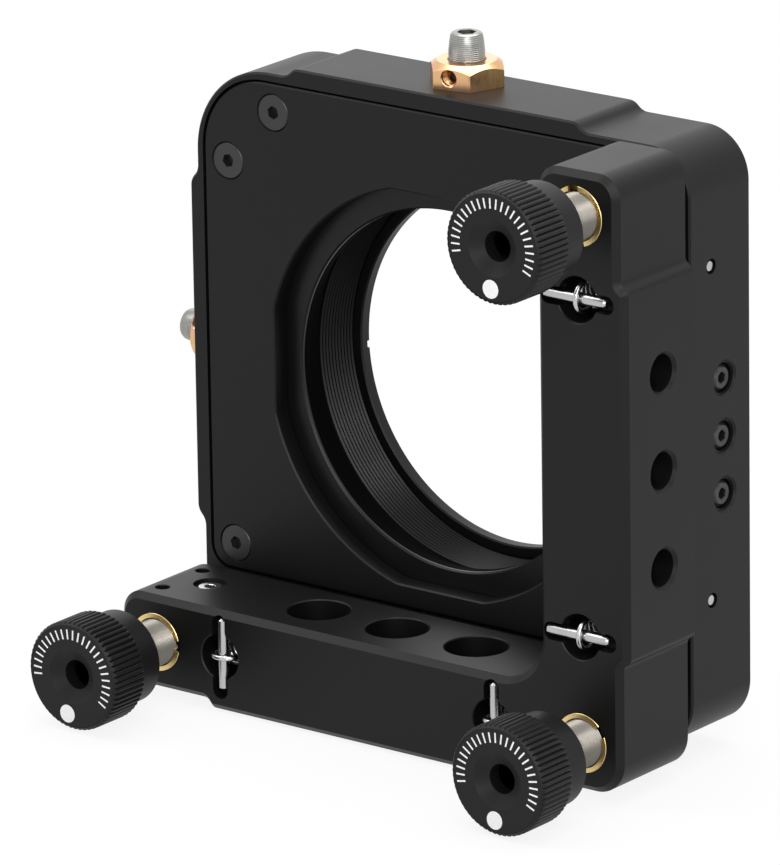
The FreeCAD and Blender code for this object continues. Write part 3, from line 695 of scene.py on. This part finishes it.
def swap(transform):
    """Carry a tool from the upright arm to the lower one, across the diagonal."""
    flip = Matrix(((0, 0, -1, 0), (0, 1, 0, 0), (-1, 0, 0, 0), (0, 0, 0, 1)))
    return flip @ transform


def slot_outline(centre, axis, length, width):
    """Slot with round ends, along X or Z."""
    x, z = centre
    round_end = width / 2
    wide, tall = (length / 2, round_end) if axis == "x" else (round_end, length / 2)
    places = [(x - wide, z - tall), (x + wide, z - tall), (x + wide, z + tall), (x - wide, z + tall)]
    return rounded([(*place, round_end) for place in places], 0.15)


def lock_tool(name):
    """Mouth of the lock screw's hole beside a bushing, pointing into the frame."""
    x, z = PLACES[name]
    if name == "top":
        return along((1, 0, 0), (ARM_INNER, LOCK_Y, z - LOCK_ASIDE))
    if name == "left":
        return along((0, 0, -1), (x + LOCK_ASIDE, LOCK_Y, -ARM_INNER))
    return along((0, 0, 1), (x - LOCK_ASIDE, LOCK_Y, -ARM_OUTER))


def build_frame():
    side = land(ARM_OUTER, ARM_LAND, -23.55, 25.2, 0.9, 1.0)
    foot = [(-z, -x, r) for x, z, r in reversed(side)]
    corners = [(ARM_OUTER, -ARM_OUTER, 4.4)] + side + [
        (ARM_OUTER, ARM_TIP, ARM_END_ROUND), (ARM_INNER, ARM_TIP, ARM_END_ROUND),
        (ARM_INNER, -ARM_INNER, PLATE_CORNER),
        (-ARM_TIP, -ARM_INNER, ARM_END_ROUND), (-ARM_TIP, -ARM_OUTER, ARM_END_ROUND)] + foot
    body = plate("frame_body", rounded(corners), FRAME_FRONT, FRAME_BACK, black, FRAME_CHAMFER, EDGE_BREAK)
    tools = []
    for z in (-POST_SPACING, 0.0, POST_SPACING):
        outer = along((-1, 0, 0), (ARM_LAND, POST_Y, z))
        inner = along((1, 0, 0), (ARM_INNER, POST_Y, z))
        for carry in (lambda t: t, swap):
            tools.append(drill(POST_RADIUS, carry(outer), 12.0, POST_CHAMFER))
            tools.append(drill(COUNTERBORE_RADIUS, carry(inner), COUNTERBORE_DEPTH, 0.15, 96))
    for name, (x, z) in PLACES.items():
        seat = along((0, 1, 0), (x, FRAME_FRONT, z))
        tools.append(drill(BUSHING_RADIUS - 0.5, seat, 15.5, 0.0, 96, BUSHING_RADIUS, BUSHING_LENGTH))
        tools.append(drill(LOCK_RADIUS, lock_tool(name), 4.2, 0.0, 48, 2.2, 0.5))
    for x, z, axis, shift in WELLS:
        tools.append(drill(WELL_RADIUS, along((0, 1, 0), (x, FRAME_FRONT, z)), 15.5, 0.15, 96))
        slot = slot_outline((x, z), axis, SLOT_LENGTH, SLOT_WIDTH)
        tools.append(plate("cutter", slot, FRAME_FRONT - 1, FRAME_FRONT + SLOT_DEPTH))
    for offset in (-TAPPED_ASIDE, TAPPED_ASIDE):
        hole = along((0, 0, -1), (4.3 - ARM_TIP, FRAME_FRONT + 7.72 + offset, -ARM_INNER))
        tools.append(drill(TAPPED_RADIUS, hole, TAPPED_DEPTH, 0.1, 32))
        tools.append(drill(TAPPED_RADIUS, swap(hole), TAPPED_DEPTH, 0.1, 32))
    body = carve(body, tools)
    place_piece(body, "base_frame", "black_anodised", "l_frame")
    for name in PLACES:
        wall = ARM_OUTER - OFFSET if name == "corner" else OFFSET - ARM_INNER
        spot = shifted(lock_tool(name), z=wall - 5.92)
        screw = headless_screw(LOCK_RADIUS - 0.02, 1.9, 0.22, 1.3, 1.14, spot, bright)
        screw.name = "lock_%s_screw" % name
        place_piece(screw, "base_frame", "bright_steel", "lock_screw_" + name)


def headless_screw(radius, length, chamfer, flats, depth, spot, material, turn=10.0):
    """Socket set screw with a chamfered rim and a chamfered key hole."""
    profile = [(0, 0), (radius - chamfer, 0), (radius, chamfer), (radius, length), (0, length)]
    screw = turned("screw", profile, spot, material, 72, False)
    cone = [(0, -1), (flats * 0.6, -1), (flats * 0.6, 0), (flats * 0.5, 0.09), (0, 0.09)]
    mouth = turned("cutter", cone, spot, steps=48, closed=False)
    return carve(screw, [mouth, hex_cutter(flats, spot, depth, turn)])


build_frame()


# Housing, cover plate and its screws

def build_housing():
    left = land(HOUSING_RECESS, HOUSING_LAND, -23.05, 23.05, 1.3, 2.0)
    left = [(-out, run, r) for out, run, r in reversed(left)]
    top = [(-run, -out, r) for out, run, r in reversed(left)]
    corners = [(HOUSING_SIDE, -HOUSING_SIDE, PLATE_CORNER), (HOUSING_SIDE, HOUSING_RECESS, PLATE_CORNER)]
    corners += top + [(-HOUSING_RECESS, HOUSING_RECESS, 12.0)]
    corners += left + [(-HOUSING_RECESS, -HOUSING_SIDE, PLATE_CORNER)]
    outline = rounded(corners)
    body = plate("housing_body", outline, HOUSING_FRONT, HOUSING_BACK, black, EDGE_BREAK, EDGE_BREAK)
    tools = [
        plate("cutter", cover_outline(0.3), HOUSING_FRONT - 1, COVER_BACK),
        plate("cutter", square(POCKET_HALF, CELL_CORNER), COVER_BACK - 0.2, CELL_BACK + 0.1),
        drill(REAR_OPENING, along((0, 1, 0), (0, CELL_BACK, 0)), 6.0, 0.0, 192),
    ]
    for step in PLUG_STEPS:
        hole = along((-1, 0, 0), (HOUSING_SIDE, SLIDE_Y, step))
        for turned_hole in (hole, swap(hole)):
            tools.append(drill(PLUG_RADIUS, turned_hole, PLUG_LENGTH, 0.3, 64, 2.15, 0.45))
            tools.append(drill(PLUNGER_BORE, turned_hole, 12.25, 0.0, 48))
    hole = along((1, 0, 0), (-HOUSING_LAND, SLIDE_Y, 0))
    tools.append(drill(SLIDE_BORE, hole, 12.0, 0.2))
    tools.append(drill(SLIDE_BORE, swap(hole), 12.0, 0.2))
    for x, z, axis, shift in WELLS:
        tools.append(drill(WELL_RADIUS, along((0, 1, 0), (x, HOUSING_FRONT, z)), 7.6, 0.0, 64))
        hole = rear_pin_spot(x, z, axis)
        tools.append(drill(DOWEL_RADIUS + 0.01, hole, DOWEL_LENGTH + 0.1, 0.0, 32, 1.0, 0.6))
    for name, (x, z) in PLACES.items():
        swing = 0.0 if name == "left" else SEAT_SWING
        seat = along((0, 1, 0), (x, HOUSING_FRONT, z))
        tools.append(drill(SEAT_RADIUS + swing, seat, SEAT_DEPTH + swing, 0.0, 64))
    for x, z in COVER_SCREWS:
        tools.append(drill(1.25, along((0, 1, 0), (x, COVER_BACK, z)), 4.5, 0.0, 32))
    body = carve(body, tools)
    place_piece(body, "housing", "black_anodised", "housing")
    dowels = []
    for x, z, axis, shift in WELLS:
        spot = shifted(rear_pin_spot(x, z, axis), z=0.1)
        profile = [
            (0, 0), (0.5, 0.02), (0.65, 0.1), (DOWEL_RADIUS, 0.26), (DOWEL_RADIUS, DOWEL_LENGTH - 0.15),
            (DOWEL_RADIUS - 0.15, DOWEL_LENGTH), (0, DOWEL_LENGTH)]
        dowels.append(turned("dowel", profile, spot, bright, 36, False))
    place_piece(merge("rear_dowels", dowels, bright), "housing", "bright_steel", "rear_spring_pins")
    for side, carry in (("side", lambda t: t), ("vertical", swap)):
        screws = []
        for step in PLUG_STEPS:
            spot = carry(along((-1, 0, 0), (HOUSING_SIDE - 0.45, SLIDE_Y, step)))
            screws.append(headless_screw(PLUG_RADIUS - 0.01, 5.5, 0.6, 1.35, 1.4, spot, black_screw))
        piece = merge(side + "_plug_screws", screws, black_screw)
        place_piece(piece, "housing", "black_oxide", side + "_socket_screws")


def rear_pin_spot(x, z, axis):
    """Mouth of a rear dowel's hole, pointing into the housing."""
    if axis == "x":
        return along((-1, 0, 0), (HOUSING_SIDE, REAR_PIN_Y, z))
    return along((0, 0, 1), (x, REAR_PIN_Y, -HOUSING_SIDE))


def cover_outline(grow):
    """The cover plate's outline, or its recess's when it grows."""
    low, high, small = -37.25 - grow, 29.35 + grow, 2.9 + grow
    return rounded([(high, -high, small), (high, -low, small), (low, -low, 9.9 + grow), (low, -high, small)])


def square(half, radius):
    """Square outline with round corners."""
    places = [(half, -half), (half, half), (-half, half), (-half, -half)]
    return rounded([(*place, radius) for place in places])


def window_outline():
    """Circle with four flats."""
    points = []
    count = 288
    for k in range(count):
        angle = TURN * (k + 0.5) / count
        c, s = math.cos(angle), math.sin(angle)
        reach = min(WINDOW_RADIUS, WINDOW_FLAT / max(abs(c), 1e-6), WINDOW_FLAT / max(abs(s), 1e-6))
        points.append(Vector((reach * c, reach * s)))
    return points


def build_cover():
    rim = 0.2
    body = plate("cover_face", cover_outline(0.0), HOUSING_FRONT, COVER_BACK, black, rim)
    tools = [plate("cutter", window_outline(), HOUSING_FRONT, COVER_BACK + 1, black, -rim)]
    tools.append(plate("cutter", inset(window_outline(), -rim), HOUSING_FRONT - 1, HOUSING_FRONT))
    for x, z in COVER_SCREWS:
        hole = along((0, 1, 0), (x, HOUSING_FRONT, z))
        profile = [(0, -0.5), (2.55, -0.5), (2.55, 0.15), (1.4, 1.25), (1.4, 4.0), (0, 4.0)]
        tools.append(turned("cutter", profile, hole, steps=72, closed=False))
    body = carve(body, tools)
    place_piece(body, "housing", "black_anodised", "cover_plate")
    heads = []
    for number, (x, z) in enumerate(COVER_SCREWS):
        spot = along((0, 1, 0), (x, HOUSING_FRONT + 0.06, z))
        profile = [(0, 0), (2.3, 0), (2.4, 0.1), (2.4, 0.2), (1.25, 1.3), (1.25, 6.0), (0, 6.0)]
        head = turned("head", profile, spot, black_screw, 72, False)
        first, step = COVER_SCREW_TURNS
        heads.append(carve(head, [hex_cutter(1.6, spot, 1.0, first + step * number)]))
    heads = merge("cover_screw_heads", heads, black_screw)
    place_piece(heads, "housing", "black_oxide", "cover_screws")


build_housing()
build_cover()


# Optic cell with its thread, and the retaining ring

def build_cell():
    body = plate("cell_body", square(CELL_HALF, CELL_CORNER), CELL_FRONT, CELL_BACK, black_cell)
    profile = [
        (0, 0), (BOSS_RADIUS, 0), (BOSS_RADIUS, BOSS_LENGTH - 0.3), (BOSS_RADIUS - 0.3, BOSS_LENGTH),
        (0, BOSS_LENGTH)]
    boss = turned("boss", profile, along((0, 1, 0), (0, CELL_BACK, 0)), steps=256, closed=False)
    body = carve(body, [boss], "UNION")
    profile = [
        (0, -1.0), (25.0, -1.0), (LIP_RADIUS + 0.22, 0.0), (LIP_RADIUS, 0.22), (LIP_RADIUS, 1.8),
        (THREAD_RADIUS, 1.8), (THREAD_RADIUS, 14.4), (THREAD_RADIUS + 0.4, 14.8),
        (THREAD_RADIUS + 0.4, 16), (0, 16)]
    bore = turned("cutter", profile, along((0, 1, 0), (0, CELL_FRONT, 0)), steps=256, closed=False)
    pad_places = [along((1, 0, 0), (-CELL_HALF, SLIDE_Y, 0)), along((0, 0, -1), (0, SLIDE_Y, CELL_HALF))]
    body = carve(body, [bore] + [drill(2.2, place, 0.9) for place in pad_places])
    start = along((0, 1, 0), (0, THREAD_START + 0.1, 0))
    turns = thread("turns", THREAD_RADIUS - 0.03, 0.3, THREAD_PITCH, 13.3, start, black_cell, 256)
    body = merge("cell_body", [body, turns], black_cell)
    place_piece(body, "cell", "black_anodised", "optic_cell")
    ring = turned(
        "ring_body",
        [(LIP_RADIUS, 0.2), (LIP_RADIUS + 0.2, 0), (25.3, 0), (25.5, 0.2),
         (25.5, 1.6), (25.3, 1.8), (LIP_RADIUS + 0.2, 1.8), (LIP_RADIUS, 1.6)],
        along((0, 1, 0), (0, RING_START, 0)), steps=256)
    slots = []
    for x in (-25.0, 25.0):
        outline = [Vector(p) for p in ((x - 2, -0.5), (x + 2, -0.5), (x + 2, 0.5), (x - 2, 0.5))]
        tilt = Matrix.Rotation(math.radians(-3.1), 4, "Y")
        slots.append(plate("cutter", outline, RING_START + 1.2, 13.0, turn=tilt))
    ring = carve(ring, slots)
    place_piece(ring, "cell", "black_anodised", "retaining_ring")


build_cell()


# Adjusters: knob, screw, bushing

def flute_seed(radius, root, front_radius, length):
    """One flute of the knurl, with its run-out on the front chamfer."""
    rows = [0.03, 0.12, 0.25, 0.4, 0.55, 0.8, length - 0.35, length - 0.15, length]
    half = math.pi / FLUTES
    columns = [-1.0, -0.55, -0.25, 0.0, 0.25, 0.55, 1.0]
    points = []
    for height in rows:
        limit = min(front_radius + height * 1.0, root + (length - height) * 1.2 + 0.05)
        for share in columns:
            tip = 1.0 - abs(share)
            crest = root + (radius - root) * min(1.0, tip * 1.7)
            reach = min(limit, crest)
            points.append((reach * math.cos(share * half), reach * math.sin(share * half), height))
    wide = len(columns)
    faces = []
    for row in range(len(rows) - 1):
        for column in range(wide - 1):
            a = row * wide + column
            faces.append((a, a + 1, a + wide + 1, a + wide))
    return seed_mesh(points, faces)


def build_knob(name):
    x, z = PLACES[name]
    spot = along((0, 1, 0), (x, FRAME_FRONT - KNOB_STANDOFF[name] - KNOB_LENGTH, z))
    knurl = repeat_around.grow(
        "knurl", flute_seed(KNURL_RADIUS, KNURL_ROOT, 6.8, KNURL_END), black_knob, spot, 24.0,
        Count=FLUTES, Step=TURN / FLUTES)
    core = turned(
        "core",
        [(6.83, 0.09), (6.72, 0.03), (3.66, 0.03), (3.58, 0.09), (1.95, 1.1), (1.95, 3.0), (KNOB_BORE, 3.0),
         (KNOB_BORE, COLLAR_END), (COLLAR_RADIUS - 0.3, COLLAR_END), (COLLAR_RADIUS, COLLAR_END - 0.3),
         (COLLAR_RADIUS, KNURL_END + 0.5), (6.97, KNURL_END + 0.01), (6.6, KNURL_END - 0.06)],
        spot, black_knob, 240, False)
    body = merge("knob_%s_body" % name, [knurl, core], black_knob, 24.0)
    place_piece(body, name + "_knob", "knob_black", "knob_" + name)
    printed = spun(spot, DOT_TURN[name])
    profile = [(0, 0.008), (1.18, 0.008), (1.2, 0.05), (0, 0.05)]
    dot = turned("dot", profile, shifted(printed, y=5.25), white, 48, False)
    tick = seed_mesh(
        [(5.0, -0.11, 0.008), (6.3, -0.11, 0.008), (6.3, 0.11, 0.008), (5.0, 0.11, 0.008),
         (5.0, -0.11, 0.05), (6.3, -0.11, 0.05), (6.3, 0.11, 0.05), (5.0, 0.11, 0.05)],
        [(3, 2, 1, 0), (4, 5, 6, 7), (0, 1, 5, 4), (1, 2, 6, 5), (2, 3, 7, 6), (3, 0, 4, 7)])
    start = spun(printed, -196.0)
    ticks = repeat_around.grow("ticks", tick, white, start, Count=25, Step=math.radians(9.0))
    marks = merge("knob_%s_marks" % name, [dot, ticks], white)
    place_piece(marks, name + "_knob", "knob_black")


def build_adjuster(name):
    x, z = PLACES[name]
    spot = along((0, 1, 0), (x, FRAME_FRONT, z))
    ring = turned(
        "bushing_%s_ring" % name,
        [(BUSHING_BORE + 0.16, 0), (BUSHING_RADIUS - 0.12, 0), (BUSHING_RADIUS, 0.12),
         (BUSHING_RADIUS, BUSHING_LENGTH), (BUSHING_BORE, BUSHING_LENGTH), (BUSHING_BORE, 0.16)],
        spot, brass, 128)
    outline = [Vector(p) for p in ((-6, -0.75), (6, -0.75), (6, 0.75), (-6, 0.75))]
    notch = plate("cutter", outline, -1.0, 0.8, turn=spun(spun(spot, -NOTCH_TURN[name]), 90, "X"))
    ring = carve(ring, [notch])
    place_piece(ring, "base_frame", "bronze", "bushing_" + name)
    spot = along((0, 1, 0), (x, SCREW_HEAD, z))
    length = SCREW_TIP - SCREW_HEAD
    core = turned(
        "core",
        [(0, 0), (2.8, 0), (SCREW_RADIUS, 0.3), (SCREW_RADIUS, length - 0.4), (2.75, length),
         (2.65, length), (2.65, length - 3.2), (0, length - 3.2)], spot, knob_steel, 96, False)
    core = carve(core, [hex_cutter(3.2, spot, 3.0)])
    start = along((0, 1, 0), (x, FRAME_FRONT - 8.4, z))
    turns = thread("turns", SCREW_RADIUS - 0.02, 0.15, SCREW_PITCH, 29.0, start, knob_steel, 64)
    body = merge("adjuster_%s_screw" % name, [core, turns], knob_steel, 20.0)
    place_piece(body, name + "_knob", "bright_steel", "adjuster_screw_" + name)


for adjuster in PLACES:
    build_knob(adjuster)
    build_adjuster(adjuster)


# Spring pins and extension springs

def path_object(points):
    curve = bpy.data.curves.new("seed", "CURVE")
    curve.dimensions = "3D"
    line = curve.splines.new("POLY")
    line.points.add(len(points) - 1)
    for item, point in zip(line.points, points):
        item.co = (*(Vector(point) * MM), 1.0)
    made = bpy.data.objects.new("seed", curve)
    scene.collection.objects.link(made)
    return made


def hook_path(x, z, y_eye, y_coil, axis, radius):
    """Round eye about the pin, open towards the coil."""
    across = Vector((0, 0, 1)) if axis == "x" else Vector((1, 0, 0))
    way = 1.0 if y_coil > y_eye else -1.0
    centre = Vector((x, y_eye, z))
    points = []
    for k in range(40):
        angle = math.radians(-50 + 300 * k / 39)
        aside = across * (radius * math.cos(angle))
        points.append(centre + aside - Vector((0, way * radius * math.sin(angle), 0)))
    return points


def build_springs():
    for number, (x, z, axis, shift) in enumerate(WELLS, start=1):
        y = FRAME_FRONT + SLOT_DEPTH - PIN_RADIUS
        way = (1, 0, 0) if axis == "x" else (0, 0, 1)
        start = Vector((x, y, z)) - Vector(way) * (PIN_LENGTH / 2 + shift)
        tip = PIN_RADIUS - 0.25
        profile = [
            (0, 0), (tip, 0), (PIN_RADIUS, 0.25), (PIN_RADIUS, PIN_LENGTH - 0.25), (tip, PIN_LENGTH),
            (0, PIN_LENGTH)]
        pin = turned("front_pin_%d" % number, profile, along(way, start), bright, 40, False)
        place_piece(pin, "base_frame", "bright_steel", "front_spring_pin_%d" % number)
        reach, gauge, coil_pitch = 1.84, 0.36, 0.8
        front_eye = FRAME_FRONT + SLOT_DEPTH - 2 * PIN_RADIUS - gauge + reach
        back_eye = REAR_PIN_Y + DOWEL_RADIUS + gauge - reach
        first, last = front_eye + reach - gauge, back_eye - reach + gauge
        parts = []
        for eye, end in ((front_eye, first), (back_eye, last)):
            path = path_object(hook_path(x, z, eye, end, axis, reach))
            parts.append(bent_wire.grow("eye", path, wire, Wire=gauge * MM))
        coil_turns = float(int((last - first) / coil_pitch))
        parts.append(winding.grow(
            "coil", seed_mesh([(0, 0, 0)], []), wire, along((0, 1, 0), (x, first, z)), 30.0,
            Turns=coil_turns, Radius=reach * MM, End_Radius=reach * MM,
            Height=(last - first) * MM, Wire=gauge * MM, Sides=10, Resolution=36))
        spring = merge("spring_%d_wire" % number, parts, wire, 40.0)
        place_piece(spring, "base_frame", "spring_steel", "extension_spring_%d" % number)


build_springs()


# Cross-slide screws and their hex nuts

def build_slide(side, axis, base, metal, nut_turn, hole_turn, hole_shift):
    """Drive screw with its hex socket, and the hex nut on the land round it."""
    outward = along(axis, base)
    length = SLIDE_REACH + SLIDE_INSIDE
    start = shifted(outward, z=-SLIDE_INSIDE)
    core = turned(
        "core",
        [(0, 0), (SLIDE_RADIUS, 0), (SLIDE_RADIUS, length - 2.3), (2.24, length - 1.3), (2.1, length - 0.4),
         (1.96, length - 0.12), (1.75, length), (0, length)], start, metal, 96, False)
    top = spun(shifted(outward, z=SLIDE_REACH), 180, "X")
    core = carve(core, [hex_cutter(2.2, top, 2.4, 15.0)])
    full_turns, nose_turns = 17, 7
    nose = shifted(outward, z=full_turns * SLIDE_PITCH)
    crest = SLIDE_RADIUS - 0.025
    ridges = [
        thread("turns", crest, 0.085, SLIDE_PITCH, full_turns, outward, metal, 64),
        thread("turns", crest, 0.085, SLIDE_PITCH, nose_turns, nose, metal, 64, 2.06),
    ]
    body = merge(side + "_slide_screw", [core] + ridges, metal, 20.0)
    place_piece(body, side + "_screw", "bright_steel", side + "_actuator_screw")
    profile = [(0, 0), (NUT_FOOT, 0), (NUT_FOOT, 2.144), (3.88, NUT_HEIGHT), (0, NUT_HEIGHT)]
    nut = turned("nut", profile, shifted(outward, z=0.02), bronze, 144, False)
    nut.name = side + "_hex_nut"
    sides = hex_cutter(NUT_FLATS, outward, 5.0, nut_turn)
    nut = carve(nut, [sides], "INTERSECT")
    bore = [
        (0, NUT_HEIGHT + 1), (SLIDE_BORE + 0.1, NUT_HEIGHT + 1), (SLIDE_BORE + 0.1, NUT_HEIGHT),
        (SLIDE_BORE, NUT_HEIGHT - 0.1), (SLIDE_BORE, -1), (0, -1)]
    tools = [turned("cutter", bore, outward, steps=96, closed=False)]
    sideways = spun(shifted(spun(shifted(outward, z=1.62), hole_turn), y=hole_shift), 90, "Y")
    profile = [(0, 2), (1.03, 2), (1.03, 4.4), (1.16, 4.53), (1.16, 6), (0, 6)]
    tools.append(turned("cutter", profile, sideways, steps=48, closed=False))
    nut = carve(nut, tools)
    lines = thread("turns", 1.06, 0.13, 0.35, 4, shifted(sideways, z=2.8), bronze, 40)
    nut = merge(side + "_hex_nut", [nut, lines], bronze)
    place_piece(nut, side + "_nut", "bronze", side + "_lock_nut")


build_slide("side", (-1, 0, 0), (-HOUSING_LAND, SLIDE_Y, 0), steel_x, 21.7, -68.3, 0.4)
build_slide("vertical", (0, 0, 1), (0, SLIDE_Y, HOUSING_LAND), steel_z, 11.5, 281.5, -0.4)


# Finishes of the pieces that keep their solids

FINISHES = {
    "black_anodised": black,
    "knob_black": black_knob,
    "bronze": brass,
    "bright_steel": bright,
    "hard_steel": hard,
    "spring_steel": wire,
    "black_oxide": black_screw,
}
slots = {item["node"]: item["material_slot"] for item in frame["record"]["subparts"]}
for node_name, node_object in frame["nodes"].items():
    node_object.data.materials.clear()
    node_object.data.materials.append(FINISHES[slots[node_name]])


# Floor, lamps, world and camera

def build_stage():
    mesh = bpy.data.meshes.new("floor")
    size, level = 6.0, -0.0425
    places = [(-size, -size), (size, -size), (size, size), (-size, size)]
    mesh.from_pydata([(*place, level) for place in places], [], [(0, 1, 2, 3)])
    floor = bpy.data.objects.new("floor", mesh)
    scene.collection.objects.link(floor)
    finish = Finish("pale_floor")
    finish.feed("Base Color", grey(0.82))
    finish.feed("Roughness", 0.9)
    glow = finish.node("ShaderNodeEmission", Color=grey(1.0), Strength=1.0)
    share = finish.seen() * 0.88
    mixed = finish.node("ShaderNodeMixShader", n0=share, n1=finish.shader.outputs[0], n2=glow.outputs[0])
    plug(finish.tree, finish.tree.nodes["Material Output"].inputs[0], mixed.outputs[0])
    mesh.materials.append(finish.material)


def lamp(name, place, size, power):
    """Rectangular lamp that faces the mount."""
    light = bpy.data.lights.new(name, "AREA")
    light.shape = "RECTANGLE"
    light.size, light.size_y = size
    light.energy = power
    made = bpy.data.objects.new(name, light)
    scene.collection.objects.link(made)
    made.location = place
    made.rotation_euler = (-Vector(place)).to_track_quat("-Z", "Y").to_euler()


def build_lights():
    lamp("top_softbox", (0.05, 0.15, 0.9), (1.0, 1.0), 10.5)
    lamp("upper_left_softbox", (-0.65, -0.33, 0.83), (0.5, 0.5), 2.2)
    lamp("key_softbox", (0.6, -0.62, 0.75), (0.4, 0.4), 3.2)
    lamp("right_softbox", (0.85, -0.6, 0.12), (0.25, 0.5), 1.2)
    lamp("glint_softbox", (0.56, -0.78, 0.29), (0.12, 0.12), 1.9)
    lamp("rear_left_softbox", (-0.6, 0.77, 0.32), (0.6, 0.4), 0.6)
    world = bpy.data.worlds.new("studio")
    scene.world = world
    world.use_nodes = True
    sky = Nodes(world.node_tree)
    background = sky.tree.nodes["Background"]
    plug(sky.tree, background.inputs["Color"], grey(1.0))
    plug(sky.tree, background.inputs["Strength"], 0.25 + sky.seen() * 0.75)


def build_camera():
    """Long lens, seen from the right and a little above."""
    turn, rise, roll = (math.radians(item) for item in (CAMERA_TURN, CAMERA_RISE, CAMERA_ROLL))
    aim = Vector(CAMERA_AIM) * MM
    back = Vector((math.sin(turn) * math.cos(rise), -math.cos(turn) * math.cos(rise), math.sin(rise)))
    right = Vector((math.cos(turn), math.sin(turn), 0))
    up = back.cross(right)
    level = right * math.cos(roll) + up * math.sin(roll)
    upright = up * math.cos(roll) - right * math.sin(roll)
    data = bpy.data.cameras.new("camera")
    data.sensor_fit = "VERTICAL"
    data.sensor_height = SENSOR
    data.lens = FOCAL_ROWS / PICTURE_ROWS * SENSOR
    camera = bpy.data.objects.new("camera", data)
    scene.collection.objects.link(camera)
    matrix = Matrix.Identity(4)
    for row in range(3):
        matrix[row][0], matrix[row][1], matrix[row][2] = level[row], upright[row], back[row]
        matrix[row][3] = (aim + back * CAMERA_AWAY * MM)[row]
    camera.matrix_world = matrix
    scene.camera = camera


build_stage()
build_lights()
build_camera()
scene.view_settings.view_transform = "Standard"
